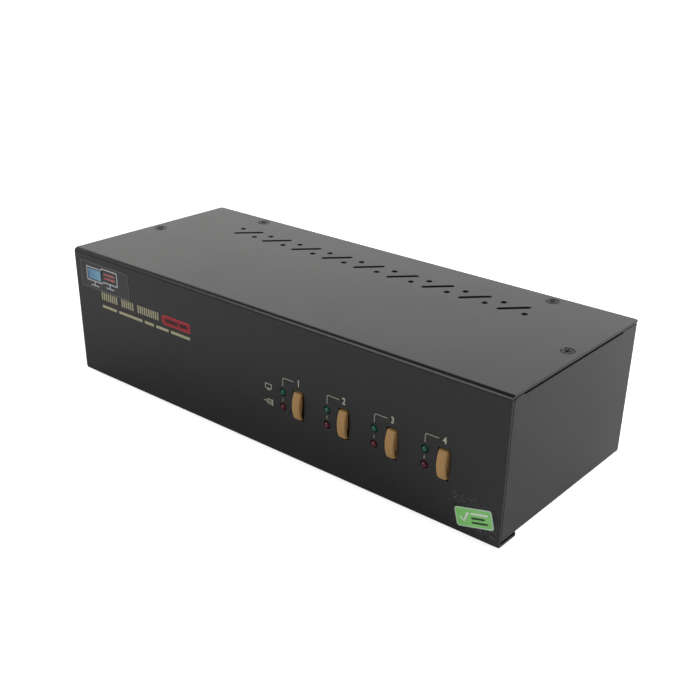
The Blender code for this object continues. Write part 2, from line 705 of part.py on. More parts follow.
def make_led(name, x, z, paint):
    """A 3 mm LED: domed lens, rim, and two leads that run back to the front board."""
    tip = FRONT - LED_PROUD
    base = tip + LED_LENGTH
    domes = [(LED_RADIUS * math.sin(math.radians(a)), tip + LED_RADIUS * (1 - math.cos(math.radians(a))))
             for a in (30, 55, 75)]
    rim = LED_RADIUS + LED_RIM
    profile = [(0, tip)] + domes + [
        (LED_RADIUS, tip + LED_RADIUS), (LED_RADIUS, base - LED_RIM_DEPTH), (rim, base - LED_RIM_DEPTH),
        (rim, base), (0, base),
    ]
    half = LEAD_SIDE / 2
    leads = [
        box((x + lead - half, x + lead + half), (base - JOIN, FRONT_BOARD - FIT), (z - half, z + half))
        for lead in mirrored(LEAD_SPACING / 2)
    ]
    piece(name, paint, lathe("XZ", (x, z), profile, 12), leads, origin=(x, FRONT, z), smooth=math.radians(40))


def make_boards(paint):
    """The vertical front board, the main board on the chassis's supports, and the video board above."""
    left = channel_x(1) - LED_TO_BUTTON - FRONT_BOARD_MARGIN
    right = channel_x(CHANNEL_COUNT) + FRONT_BOARD_MARGIN
    height = (MAIN_BOARD, VIDEO_TOP + FRONT_BOARD_RISE)
    piece("front_board", paint, box((left, right), (FRONT_BOARD, FRONT_BOARD + BOARD), height))
    for name, level in (("main_board", MAIN_BOARD), ("video_board", VIDEO_BOARD)):
        depth = (level - CUT_MARGIN, level + BOARD + CUT_MARGIN)
        holes = [cylinder("XY", centre, BOARD_HOLE_RADIUS, *depth) for centre in support_places()]
        plate = box((-BOARD_HALF, BOARD_HALF), (BOARD_FRONT, BOARD_REAR), (level, level + BOARD))
        piece(name, paint, plate, cut=holes)


def make_spacers(paint):
    """Hexagonal spacers whose lower studs pass the main board into the chassis's supports."""
    low = MAIN_TOP + FIT
    high = low + SPACER_LENGTH
    for number, (x, y) in enumerate(support_places(), 1):
        stud = prism(
            "XY", circle((x, y), SPACER_STUD_RADIUS, 8), low - SPACER_STUD, high + SPACER_STUD
        )
        body = prism("XY", circle((x, y), SPACER_RADIUS, 6), low, high)
        piece(f"board_spacer_{number}", paint, body, [stud], origin=(x, y, low))


def make_dvi(name, x, board, paint):
    """A screen socket: housing, flange, the shell that passes the rear panel, and its jack nuts."""
    low = board + FIT
    z = low + DVI_HEIGHT / 2
    face = PANEL_INSIDE - FIT
    half, body = DVI_WIDTH / 2, DVI_BODY_WIDTH / 2
    flange = box((x - half, x + half), (face - DVI_FLANGE, face), (low, low + DVI_HEIGHT))
    housing = (face - DVI_DEPTH, face - DVI_FLANGE + JOIN)
    joined = [
        box((x - body, x + body), housing, (low, low + DVI_HEIGHT - JOIN)),
        prism("XZ", dvi_outline(x, z), face - JOIN, REAR_FACE + DVI_SHELL_PROUD),
    ]
    seat = REAR_FACE + FIT
    for nut in mirrored(DVI_NUT_SPACING / 2):
        centre = (x + nut, z)
        joined.append(cylinder("XZ", centre, DVI_SHANK_RADIUS, face - JOIN, seat + JOIN, 8))
        joined.append(cylinder("XZ", centre, DVI_NUT_RADIUS, seat, REAR_FACE + DVI_NUT_PROUD, 6))
    piece(name, paint, flange, joined, origin=(x, face, z))


def make_usb_b(name, x, paint):
    low = MAIN_TOP + FIT
    z = low + USB_B_HEIGHT / 2
    face = REAR_FACE + USB_PROUD
    half = USB_B_WIDTH / 2
    body = box((x - half, x + half), (face - USB_B_DEPTH, face), (low, low + USB_B_HEIGHT))
    mouth = [prism("XZ", usb_b_mouth(x, z), face - USB_MOUTH_DEPTH, face + CUT_MARGIN)]
    made = piece(name, paint, body, cut=mouth, origin=(x, face, z))
    wide, tall = USB_B_TONGUE / 2, USB_B_TONGUE_HEIGHT / 2
    bottom = face - USB_MOUTH_DEPTH
    tongue = box((x - wide, x + wide), (bottom - JOIN, face - USB_PROUD), (z - tall, z + tall))
    boolean(made, [tongue], "UNION")


def make_usb_a(name, x, board, paint):
    """Two USB-A sockets in one shell."""
    low = board + FIT
    z = low + USB_A_HEIGHT / 2
    face = REAR_FACE + USB_PROUD
    half = USB_A_WIDTH / 2
    body = box((x - half, x + half), (face - USB_A_DEPTH, face), (low, low + USB_A_HEIGHT))
    bottom = face - USB_MOUTH_DEPTH
    mouths, tongues = [], []
    for level in mirrored(USB_A_PITCH / 2):
        wide, tall = USB_A_MOUTH / 2, USB_A_MOUTH_HEIGHT / 2
        middle = z + level
        mouths.append(box((x - wide, x + wide), (bottom, face + CUT_MARGIN), (middle - tall, middle + tall)))
        wide = USB_A_TONGUE_WIDTH / 2
        top = middle + tall - JOIN
        tongues.append(box(
            (x - wide, x + wide), (bottom - JOIN, face - USB_PROUD), (top - USB_A_TONGUE_HEIGHT, top)
        ))
    made = piece(name, paint, body, cut=mouths, origin=(x, face, z))
    boolean(made, tongues, "UNION")


def make_audio(name, x, paint):
    """Two 3.5 mm jacks, one above the other."""
    low = VIDEO_TOP + FIT
    inner = PANEL_INSIDE - FIT
    face = REAR_FACE + AUDIO_PROUD
    half = AUDIO_WIDTH / 2
    body = box((x - half, x + half), (inner - AUDIO_DEPTH, inner), (low, low + AUDIO_HEIGHT))
    barrels = [cylinder("XZ", (x, z), AUDIO_BARREL_RADIUS, inner - JOIN, face, 16) for z in audio_levels()]
    bores = [
        cylinder("XZ", (x, z), AUDIO_BORE_RADIUS, face - AUDIO_BORE_DEPTH, face + CUT_MARGIN)
        for z in audio_levels()
    ]
    piece(name, paint, body, barrels, bores, origin=(x, face, low))


def make_power_jack(x, paint):
    """The DC inlet: a barrel with a centre pin."""
    low = MAIN_TOP + FIT
    z = low + POWER_HEIGHT / 2
    inner = PANEL_INSIDE - FIT
    face = REAR_FACE + POWER_PROUD
    half = POWER_WIDTH / 2
    body = box((x - half, x + half), (inner - POWER_DEPTH, inner), (low, low + POWER_HEIGHT))
    barrel = cylinder("XZ", (x, z), POWER_BARREL_RADIUS, inner - JOIN, face, 16)
    bottom = face - POWER_BORE_DEPTH
    bore = cylinder("XZ", (x, z), POWER_BORE_RADIUS, bottom, face + CUT_MARGIN, 16)
    made = piece("power_jack", paint, body, [barrel], [bore], origin=(x, face, z))
    boolean(made, [cylinder("XZ", (x, z), POWER_PIN_RADIUS, bottom - JOIN, face - POWER_PROUD, 8)], "UNION")


def make_channels(paints):
    """Each channel's button, switch and two LEDs, the moving ones under an empty at the button."""
    for channel in range(1, CHANNEL_COUNT + 1):
        x = channel_x(channel)
        make_switch(channel, paints["switch"], paints["plunger"])
        button = make_button(channel, paints["button"])
        travel = bpy.data.objects.new(f"channel_{channel}_travel", None)
        travel.location = (x, FRONT, BUTTON_Z)
        bpy.context.scene.collection.objects.link(travel)
        for moving in (button, bpy.data.objects[f"key_plunger_{channel}"]):
            moving.location = [own - base for own, base in zip(moving.location, travel.location)]
            moving.parent = travel
        led_x = x - LED_TO_BUTTON
        make_led(f"computer_led_{channel}", led_x, COVER_BOTTOM + LED_UPPER, paints["green_lens"])
        make_led(f"hub_led_{channel}", led_x, COVER_BOTTOM + LED_LOWER, paints["red_lens"])


def make_sockets(row, paints):
    """The computers' and the desk's sockets along the back of the two boards."""
    for column in range(1, SCREEN_COUNT + 1):
        x = row[f"screen_{column}"]
        make_dvi(f"dvi_lower_{column}", x, MAIN_TOP, paints["plated"])
        make_dvi(f"dvi_upper_{column}", x, VIDEO_TOP, paints["plated"])
        if column < SCREEN_COUNT:
            make_usb_b(f"usb_b_{column}", row[f"narrow_{column}"], paints["plated"])
            make_audio(f"audio_{column}", row[f"narrow_{column}"], paints["black_plastic"])
    make_usb_a("usb_a_keys", row[f"narrow_{SCREEN_COUNT}"], MAIN_TOP, paints["plated"])
    make_usb_a("usb_a_hub", row[f"narrow_{SCREEN_COUNT}"], VIDEO_TOP, paints["plated"])
    make_audio(f"audio_{SCREEN_COUNT}", row["power"], paints["black_plastic"])
    make_power_jack(row["power"], paints["black_plastic"])


def main():
    for old in list(bpy.data.objects):
        bpy.data.objects.remove(old)
    paints = {
        "case": material("black_powder_coat", (0.012, 0.013, 0.012), 0.5),
        "screw": material("black_screw", (0.02, 0.02, 0.02), 0.4, 1.0),
        "rubber": material("foot_rubber", (0.02, 0.02, 0.02), 0.9),
        "button": material("tan_plastic", (0.37, 0.22, 0.09), 0.45),
        "green_lens": material("green_lens", (0.01, 0.12, 0.07), 0.15),
        "red_lens": material("red_lens", (0.12, 0.01, 0.02), 0.15),
        "switch": material("switch_plastic", (0.03, 0.03, 0.03), 0.5),
        "plunger": material("plunger_plastic", (0.6, 0.57, 0.5), 0.5),
        "board": material("green_board", (0.01, 0.12, 0.04), 0.5),
        "plated": material("plated_steel", (0.65, 0.63, 0.6), 0.3, 1.0),
        "black_plastic": material("black_plastic", (0.02, 0.02, 0.02), 0.45),
    }
    row = socket_row()
    make_cover(paints["case"])
    make_chassis(paints["case"])
    make_rear_panel(paints["case"], row)
    make_cover_screws(paints["screw"])
    make_feet(paints["rubber"])
    make_channels(paints)
    make_boards(paints["board"])
    make_spacers(paints["plated"])
    make_sockets(row, paints)


main()
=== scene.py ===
"""The looks of a four-channel KVM switch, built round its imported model.

Lengths are in metres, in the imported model's own frame: +X is to the right of someone facing the buttons,
+Y goes from the front to the back, and +Z is up.
"""

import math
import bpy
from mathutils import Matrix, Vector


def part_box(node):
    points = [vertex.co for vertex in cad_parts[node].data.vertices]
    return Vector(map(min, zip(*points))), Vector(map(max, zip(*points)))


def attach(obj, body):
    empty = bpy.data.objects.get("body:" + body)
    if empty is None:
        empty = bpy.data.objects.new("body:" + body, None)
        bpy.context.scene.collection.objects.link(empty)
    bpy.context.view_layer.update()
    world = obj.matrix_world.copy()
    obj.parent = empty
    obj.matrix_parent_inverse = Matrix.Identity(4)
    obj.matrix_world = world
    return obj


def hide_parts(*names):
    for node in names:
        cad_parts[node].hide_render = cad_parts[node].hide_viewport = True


bl_info = {
    "name": "KVM switch looks",
    "version": (1, 0, 0),
    "blender": (4, 5, 0),
    "location": "3D View > Sidebar > KVM switch",
    "description": "Builds the finished surfaces, printing, sockets and stage of a KVM switch",
    "category": "Object",
}

import bmesh
import bpy
from bpy.props import FloatProperty, FloatVectorProperty, PointerProperty
from bpy.types import Operator, Panel, PropertyGroup
from mathutils import Matrix, Vector

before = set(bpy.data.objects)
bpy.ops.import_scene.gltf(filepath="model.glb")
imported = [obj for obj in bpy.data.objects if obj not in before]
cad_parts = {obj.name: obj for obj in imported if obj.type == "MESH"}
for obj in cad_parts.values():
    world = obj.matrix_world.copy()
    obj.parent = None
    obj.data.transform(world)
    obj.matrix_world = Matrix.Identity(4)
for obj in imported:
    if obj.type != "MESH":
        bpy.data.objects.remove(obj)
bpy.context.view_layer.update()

MM = 0.001
MICRON = 0.001 * MM
DUST = (0.42, 0.41, 0.38)

# Planes and edges of the case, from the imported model
COVER_LOW, COVER_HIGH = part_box("top_front_cover")
CHASSIS_LOW, CHASSIS_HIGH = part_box("chassis")
LEFT, RIGHT = COVER_LOW.x, COVER_HIGH.x
FRONT, BACK = COVER_LOW.y, COVER_HIGH.y
LIP, TOP = COVER_LOW.z, COVER_HIGH.z
REAR_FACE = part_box("rear_panel")[1].y

CHANNELS = range(1, 5)
COLUMNS = range(1, 6)
SCREWS = range(1, 5)
FEET = range(1, 5)
SPACERS = range(1, 5)
LEVELS = ("lower", "upper")

# Sizes that the pieces here share with the model's own
SHEET = 1.2 * MM
FIT = 0.3 * MM
LIP_DEPTH = 15 * MM
LIP_INSET = 0.3 * MM
LIP_CORNER = 2 * MM
COVER_CORNER = 1.5 * MM
FLANGE_START = 9.6 * MM
FLANGE_END = 16 * MM
FLANGE_RELIEF = 0.8 * MM
VENT_COUNT = 9
VENT_PITCH = 21.6 * MM
VENT_FROM_REAR = 26.2 * MM
VENT_LENGTH = 16.5 * MM
VENT_SHIFT = -0.5 * MM
VENT_WIDTH = 2.4 * MM
VENT_ANGLE = 46.5
VENT_HOLE = 1.5 * MM
VENT_HOLE_STEP = (7.6 * MM, 3.3 * MM)
SCREW_SHANK = 1.5 * MM
SCREW_HEAD = 2.95 * MM
HEAD_DEPTH = 0.9 * MM
HEAD_SINK = 0.1 * MM
WALL_OVERLAP = 3 * MM
LIP_THROUGH = 1.4 * MM
SLOT_GAP = 0.6 * MM
CAP_RIM = 1.1 * MM
SLOT_CORNER = 0.7 * MM
LED_HOLE = 1.9 * MM
BUTTON_RISE = 1.6 * MM
CAP_CROWN = 0.35 * MM
PRINT_PROUD = 0.04 * MM
PRINT_ROOT = 0.02 * MM
CUT_MARGIN = 1 * MM
WELD = 1 * MICRON

PLANES = {"XY": (0, 1, 2), "XZ": (0, 2, 1), "YZ": (1, 2, 0)}


# ---------------------------------------------------------------- outlines


def middle(node):
    low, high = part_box(node)
    return (low + high) / 2


def arc(centre, radius, start, end, steps):
    """Points along a circular arc, angles in degrees."""
    turns = [math.radians(start + (end - start) * step / steps) for step in range(steps + 1)]
    return [(centre[0] + radius * math.cos(t), centre[1] + radius * math.sin(t)) for t in turns]


def circle(centre, radius, sides, start=0.0):
    return arc(centre, radius, start, start + 360 * (sides - 1) / sides, sides - 1)


def around(centre, half):
    """The span that reaches half to either side of a centre."""
    return centre - half, centre + half


def centred(centre, width, height):
    """The four sides of a rectangle about a centre, as the outlines below take them."""
    return *around(centre[0], width / 2), *around(centre[1], height / 2)


def rectangle(u_low, u_high, v_low, v_high):
    return [(u_low, v_low), (u_high, v_low), (u_high, v_high), (u_low, v_high)]


def rounded(u_low, u_high, v_low, v_high, radius, steps=6):
    """A rectangle's outline with round corners. The radius is one number or four, from the upper right
    corner anticlockwise."""
    radii = radius if isinstance(radius, tuple) else (radius,) * 4
    corners = ((u_high, v_high, 0), (u_low, v_high, 90), (u_low, v_low, 180), (u_high, v_low, 270))
    outline = []
    for (u, v, start), size in zip(corners, radii):
        centre = (u - size * (1 if u == u_high else -1), v - size * (1 if v == v_high else -1))
        outline += arc(centre, size, start, start + 90, steps)
    return outline


def capsule(centre, length, width, angle, steps=8):
    """A slot's outline: two half circles joined by straight sides, turned by an angle in degrees."""
    reach = (length - width) / 2
    turn = math.radians(angle)
    outline = []
    for side, start in ((1, -90), (-1, 90)):
        end = (centre[0] + side * reach * math.cos(turn), centre[1] + side * reach * math.sin(turn))
        outline += arc(end, width / 2, start + angle, start + 180 + angle, steps)
    return outline


def moved(outline, u_step, v_step):
    return [(u + u_step, v + v_step) for u, v in outline]


def turned(outline, centre, angle):
    """An outline turned about a centre, in degrees."""
    c, s = math.cos(math.radians(angle)), math.sin(math.radians(angle))
    return [
        (centre[0] + u * c - v * s, centre[1] + u * s + v * c)
        for u, v in moved(outline, -centre[0], -centre[1])
    ]


def strip(path, width):
    """The outline of a line of even width along a path."""
    left, right = [], []
    for index, (u, v) in enumerate(path):
        before, after = path[max(index - 1, 0)], path[min(index + 1, len(path) - 1)]
        along = Vector((after[0] - before[0], after[1] - before[1])).normalized()
        across = Vector((-along.y, along.x)) * width / 2
        left.append((u + across.x, v + across.y))
        right.append((u - across.x, v - across.y))
    return left + right[::-1]


def bent_sheet(corners, radii, thickness, steps):
    """The closed outline of a sheet folded along a path that always turns left; the path is its outside."""
    outer, inner, directions = [corners[0]], [], []
    for (u0, v0), (u1, v1) in zip(corners, corners[1:]):
        length = math.hypot(u1 - u0, v1 - v0)
        directions.append(((u1 - u0) / length, (v1 - v0) / length))

    def inward(direction, distance):
        return -direction[1] * distance, direction[0] * distance

    offset = inward(directions[0], thickness)
    inner.append((corners[0][0] + offset[0], corners[0][1] + offset[1]))
    for corner, radius, before, after in zip(corners[1:-1], radii, directions, directions[1:]):
        start = math.degrees(math.atan2(before[1], before[0])) - 90
        centre = (
            corner[0] + inward(before, radius)[0] + inward(after, radius)[0],
            corner[1] + inward(before, radius)[1] + inward(after, radius)[1],
        )
        outer += arc(centre, radius, start, start + 90, steps)
        inner += arc(centre, radius - thickness, start, start + 90, steps)
    offset = inward(directions[-1], thickness)
    outer.append(corners[-1])
    inner.append((corners[-1][0] + offset[0], corners[-1][1] + offset[1]))
    return outer + inner[::-1]


# ---------------------------------------------------------------- meshes


def place(plane, u, v, depth):
    point = [0.0, 0.0, 0.0]
    for axis, value in zip(PLANES[plane], (u, v, depth)):
        point[axis] = value
    return point


def loft(rings, paint=0, closed=False):
    """A recipe for a skin over rings of points, capped at both ends or else closed round on itself.

    Each recipe adds its body to a bmesh.
    """

    def build(body):
        loops = [[body.verts.new(point) for point in ring] for ring in rings]
        faces = [] if closed else [body.faces.new(loops[0]), body.faces.new(loops[-1][::-1])]
        for here, there in zip(loops, loops[1:] + loops[:1] if closed else loops[1:]):
            for index in range(len(here)):
                after = (index + 1) % len(here)
                faces.append(body.faces.new((here[index], here[after], there[after], there[index])))
        for face in faces:
            face.material_index = paint

    return build


def level_ring(plane, outline, depth):
    return [place(plane, u, v, depth) for u, v in outline]


def prism(plane, outline, low, high, paint=0):
    """A recipe for an outline extruded between two depths."""
    return loft([level_ring(plane, outline, depth) for depth in (low, high)], paint)


def box(x, y, z, paint=0):
    return prism("XY", rectangle(*x, *y), *z, paint)


def lathe(plane, centre, profile, sides=32, paint=0):
    """A recipe for a turned body, from (radius, depth) pairs. A radius of 0 closes it on the axis."""

    def build(body):
        rings = []
        for radius, depth in profile:
            spots = circle(centre, radius, sides) if radius else [centre]
            rings.append([body.verts.new(place(plane, u, v, depth)) for u, v in spots])
        for lower, upper in zip(rings, rings[1:]):
            for side in range(sides):
                after = (side + 1) % sides
                corners = [lower[side % len(lower)], lower[after % len(lower)]]
                corners += [upper[after % len(upper)], upper[side % len(upper)]]
                face = body.faces.new(list(dict.fromkeys(corners)))
                face.material_index = paint

    return build


def hollow(plane, outer, inner, low, high, paint=0):
    """A recipe for a tube between two outlines that have the same number of points."""
    rings = ((outer, low), (outer, high), (inner, high), (inner, low))
    return loft([level_ring(plane, outline, depth) for outline, depth in rings], paint, closed=True)


def add_object(name, body, paints):
    """A new object from a bmesh, which is used up."""
    data = bpy.data.meshes.new(name)
    body.to_mesh(data)
    body.free()
    for paint in paints:
        data.materials.append(paint)
    made = bpy.data.objects.new(name, data)
    bpy.context.scene.collection.objects.link(made)
    return made


def make(name, recipes, paints=()):
    """A new object whose mesh holds every recipe's body."""
    body = bmesh.new()
    for recipe in recipes:
        recipe(body)
    bmesh.ops.remove_doubles(body, verts=body.verts, dist=1e-8)
    bmesh.ops.recalc_face_normals(body, faces=body.faces)
    return add_object(name, body, paints)


def settle(thing):
    """Applies an object's modifiers to its mesh."""
    mesh = bpy.data.meshes.new_from_object(thing.evaluated_get(bpy.context.evaluated_depsgraph_get()))
    mesh.name = thing.name
    thing.modifiers.clear()
    thing.data = mesh


def carve(thing, recipes, operation="DIFFERENCE"):
    """Cuts the recipes' bodies from a thing, or joins them to it."""
    operand = make("operand", recipes)
    modifier = thing.modifiers.new("Carve", "BOOLEAN")
    modifier.operation = operation
    modifier.object = operand
    modifier.use_self = True
    settle(thing)
    bpy.data.objects.remove(operand)


def soften(thing, width, segments=2, angle=35, apply=True):
    """Rounds a thing's sharp edges and keeps its flat faces flat in shading."""
    bevel = thing.modifiers.new("Edges", "BEVEL")
    bevel.width = width
    bevel.segments = segments
    bevel.limit_method = "ANGLE"
    bevel.angle_limit = math.radians(angle)
    bevel.use_clamp_overlap = False
    if apply:
        settle(thing)
    thing.data.shade_smooth()
    weigh(thing)


def weigh(thing):
    thing.modifiers.new("Shading", "WEIGHTED_NORMAL").keep_sharp = True


def smooth(thing, angle=40):
    """Shades a thing smooth across its gentle edges."""
    thing.data.shade_smooth()
    thing.data.set_sharp_from_angle(angle=math.radians(angle))


def letter(character, height, centre, facing, narrow=0.85):
    """A recipe for a printed numeral on the front or the rear face, with its middle at (x, z)."""
    curve = bpy.data.curves.new("letter", "FONT")
    curve.body = character
    curve.align_x = "CENTER"
    curve.extrude = 0.5
    curve.offset = 0.025
    holder = bpy.data.objects.new("letter", curve)
    bpy.context.scene.collection.objects.link(holder)
    mesh = bpy.data.meshes.new_from_object(holder.evaluated_get(bpy.context.evaluated_depsgraph_get()))
    bpy.data.objects.remove(holder)
    across = [v.co.x for v in mesh.vertices]
    along = [v.co.y for v in mesh.vertices]
    scale = height / (max(along) - min(along))
    half = (PRINT_PROUD + PRINT_ROOT) / 2
    level = (FRONT - PRINT_PROUD + half) if facing < 0 else (REAR_FACE + PRINT_PROUD - half)
    mesh.transform(Matrix.Translation((-(max(across) + min(across)) / 2, -(max(along) + min(along)) / 2, 0)))
    mesh.transform(Matrix.Diagonal((scale * narrow, scale, half * 2, 1)))
    mesh.transform(Matrix.Rotation(math.radians(90), 4, "X"))
    if facing > 0:
        mesh.transform(Matrix.Rotation(math.radians(180), 4, "Z"))
    mesh.transform(Matrix.Translation((centre[0], level, centre[1])))

    def build(body):
        body.from_mesh(mesh)

    return build


def front_print(outline, paint=0, proud=PRINT_PROUD, root=PRINT_ROOT):
    """A recipe for a printed patch on the front face, from its outline in X and Z."""
    return prism("XZ", outline, FRONT - proud, FRONT + root, paint)


def rear_print(outline, paint=0):
    return prism("XZ", outline, REAR_FACE - PRINT_ROOT, REAR_FACE + PRINT_PROUD, paint)


def fit(thing, slot, body="case", replaces=()):
    """Places a finished piece on what it rides on and hides the nodes that it stands for. The slot is not
    used.
    """
    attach(thing, body)
    if replaces:
        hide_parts(*replaces)
    return thing


def repaint(node, paint):
    """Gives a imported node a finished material."""
    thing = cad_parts[node]
    for slot in thing.material_slots:
        slot.material = paint
    return thing


def copy_packed(name, node, paint):
    """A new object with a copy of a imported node's mesh, its split corners joined again."""
    body = bmesh.new()
    body.from_mesh(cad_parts[node].data)
    bmesh.ops.remove_doubles(body, verts=body.verts, dist=WELD)
    return add_object(name, body, [paint])


def round_packed(node, width):
    """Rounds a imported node's edges with modifiers, which leave its own mesh alone."""
    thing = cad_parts[node]
    weld = thing.modifiers.new("Weld", "WELD")
    weld.merge_threshold = WELD
    soften(thing, width, apply=False)


# ---------------------------------------------------------------- materials


class Graph:
    """Adds nodes to a tree. Each input is a value or another node's output."""

    def __init__(self, tree):
        self.tree = tree

    def add(self, kind, inputs=None, **settings):
        node = self.tree.nodes.new(f"ShaderNode{kind}")
        for name, value in settings.items():
            setattr(node, name, value)
        for name, value in (inputs or {}).items():
            socket = node.inputs[name]
            if isinstance(value, bpy.types.NodeSocket):
                self.tree.links.new(value, socket)
            else:
                socket.default_value = value
        return node

    def group(self, tree, **values):
        """A node group with its inputs set, in the group's own names."""
        return self.add("Group", values, node_tree=tree).outputs

    def math(self, operation, first, second=0.0, clamp=False):
        node = self.add("Math", {0: first, 1: second}, operation=operation, use_clamp=clamp)
        return node.outputs[0]

    def spread(self, value, low, high, to_low=0.0, to_high=1.0):
        """Maps a value's range to another one, without going past its ends."""
        inputs = {"Value": value, "From Min": low, "From Max": high, "To Min": to_low, "To Max": to_high}
        return self.add("MapRange", inputs).outputs["Result"]

    def blend(self, factor, first, second, mode="MIX"):
        node = self.add("Mix", {0: factor, 6: first, 7: second}, data_type="RGBA", blend_type=mode)
        return node.outputs[2]

    def bump(self, height, distance):
        return self.add("Bump", {"Height": height, "Distance": distance}).outputs["Normal"]

    def noise(self, vector, scale, detail=2.0, roughness=0.5):
        inputs = {"Vector": vector, "Scale": scale, "Detail": detail, "Roughness": roughness}
        return self.add("TexNoise", inputs).outputs["Fac"]


def node_group(name, inputs, outputs, build):
    """A shader node group, built the first time that it's asked for."""
    tree = bpy.data.node_groups.get(name)
    if tree:
        return tree
    tree = bpy.data.node_groups.new(name, "ShaderNodeTree")
    for label, default in inputs:
        socket = tree.interface.new_socket(label, in_out="INPUT", socket_type="NodeSocketFloat")
        socket.default_value = default
    for label in outputs:
        tree.interface.new_socket(label, in_out="OUTPUT", socket_type="NodeSocketFloat")
    graph = Graph(tree)
    given = tree.nodes.new("NodeGroupInput").outputs
    results = build(graph, given)
    last = tree.nodes.new("NodeGroupOutput")
    for label, value in results.items():
        tree.links.new(value, last.inputs[label])
    return tree


def grain_group():
    """Fine raised texture of a painted or moulded surface, with broad patches of sheen."""

    def build(graph, given):
        place_at = graph.add("TexCoord").outputs["Object"]
        size = graph.math("DIVIDE", 1.0, given["Size"])
        fine = graph.noise(place_at, size, 3.0, 0.6)
        cells = graph.add("TexVoronoi", {"Vector": place_at, "Scale": size}, feature="SMOOTH_F1")
        bumps = graph.math("SUBTRACT", 1.0, cells.outputs["Distance"])
        height = graph.math("ADD", graph.math("MULTIPLY", fine, 0.6), graph.math("MULTIPLY", bumps, 0.5))
        patches = graph.noise(place_at, graph.math("DIVIDE", 1.0, given["Patch"]), 4.0)
        return {"Height": height, "Speckle": fine, "Patches": graph.spread(patches, 0.3, 0.7)}

    inputs = (("Size", 0.5 * MM), ("Patch", 30 * MM))
    return node_group("fine_grain", inputs, ("Height", "Speckle", "Patches"), build)


def wear_group():
    """A mask of the sharp edges, where the colour is made paler: partly a finish worn thin, partly a painted
    highlight.
    """

    def build(graph, given):
        soft = graph.add("Bevel", {"Radius": given["Reach"]}, samples=4).outputs["Normal"]
        hard = graph.add("NewGeometry").outputs["Normal"]
        dot = graph.add("VectorMath", {0: soft, 1: hard}, operation="DOT_PRODUCT").outputs["Value"]
        edge = graph.spread(dot, 0.999, 0.93)
        place_at = graph.add("TexCoord").outputs["Object"]
        broken = graph.spread(graph.noise(place_at, 900.0, 4.0), 0.35, 0.6, 0.4, 1.0)
        return {"Edge": graph.math("MULTIPLY", edge, broken)}

    return node_group("edge_wear_and_highlight", (("Reach", 0.3 * MM),), ("Edge",), build)


def dust_group():
    """A mask of dust and handling marks: most on faces that look up."""

    def build(graph, given):
        place_at = graph.add("TexCoord").outputs["Object"]
        normal = graph.add("NewGeometry").outputs["Normal"]
        up = graph.add("SeparateXYZ", {0: normal}).outputs["Z"]
        lying = graph.spread(up, 0.2, 1.0, 0.25, 1.0)
        clouds = graph.spread(graph.noise(place_at, 45.0, 5.0, 0.6), 0.42, 0.75)
        specks = graph.spread(graph.noise(place_at, 2600.0, 1.0), 0.72, 0.80)
        settled = graph.math("ADD", graph.math("MULTIPLY", clouds, 0.5), graph.math("MULTIPLY", specks, 0.5))
        return {"Dust": graph.math("MULTIPLY", graph.math("MULTIPLY", settled, lying), given["Amount"], True)}

    return node_group("settled_dust", (("Amount", 0.5),), ("Dust",), build)


def shader(name, **values):
    """A new material, its graph and its Principled shader, with even values set on the shader itself."""
    made = bpy.data.materials.get(name)
    if made:
        return made, None, None
    made = bpy.data.materials.new(name)
    made.use_nodes = True
    principled = made.node_tree.nodes["Principled BSDF"]
    for label, value in values.items():
        socket = principled.inputs[label.replace("_", " ")]
        socket.default_value = (*value, 1.0) if isinstance(value, tuple) else value
    return made, Graph(made.node_tree), principled


def link(graph, principled, **outputs):
    for label, value in outputs.items():
        graph.tree.links.new(value, principled.inputs[label.replace("_", " ")])


def finish_like(
    name, colour, worn_and_highlit, roughness, grain, bump, dust=0.3, wear_and_highlight=0.5, reach=0.3, spread=0.06, **even,
):
    """A coloured finish with grain, patches of sheen, pale edges and a little dust. The pale edges are partly
    wear and partly a painted highlight.

    Grain size and edge reach are in millimetres, and bump is the grain's height in micrometres.
    """
    made, graph, principled = shader(name, **even)
    if graph is None:
        return made
    grainy = graph.group(grain_group(), Size=grain * MM)
    edge = graph.group(wear_group(), Reach=reach * MM)["Edge"]
    settled = graph.group(dust_group(), Amount=dust)["Dust"]
    dark = tuple(part * 0.82 for part in colour)
    pale = tuple(min(part * 1.15, 1.0) for part in colour)
    base = graph.blend(grainy["Speckle"], (*dark, 1), (*pale, 1))
    # Sharp edges are painted paler: partly wear, partly a painted highlight.
    base = graph.blend(graph.math("MULTIPLY", edge, wear_and_highlight), base, (*worn_and_highlit, 1))
    base = graph.blend(graph.math("MULTIPLY", settled, 0.12), base, (*DUST, 1))
    rough = graph.spread(grainy["Patches"], 0.0, 1.0, roughness - spread, roughness + spread)
    rough = graph.math("ADD", rough, graph.math("MULTIPLY", settled, 0.2), True)
    raised = graph.bump(grainy["Height"], bump * MICRON)
    link(graph, principled, Base_Color=base, Roughness=rough, Normal=raised)
    made.diffuse_color = (*colour, 1)
    return made


def powder_coat(settings):
    return finish_like(
        "powder_coat_black", tuple(settings.paint), (0.05, 0.05, 0.05), settings.gloss, 0.4, 9,
        dust=0.1, wear_and_highlight=0.5, spread=0.015, IOR=1.5, Specular_IOR_Level=settings.sheen,
    )


def black_oxide():
    return finish_like(
        "black_oxide_steel", (0.035, 0.035, 0.037), (0.3, 0.29, 0.28), 0.38, 0.25, 4,
        wear_and_highlight=0.6, reach=0.15, Metallic=0.85,
    )


def plated_steel():
    return finish_like(
        "nickel_plated_steel", (0.62, 0.60, 0.56), (0.8, 0.78, 0.74), 0.26, 0.6, 3, dust=0.3, Metallic=1.0,
    )


def gold_plate():
    return finish_like(
        "gold_contacts", (0.83, 0.60, 0.25), (0.9, 0.75, 0.4), 0.25, 0.3, 1, dust=0.0, Metallic=1.0,
    )


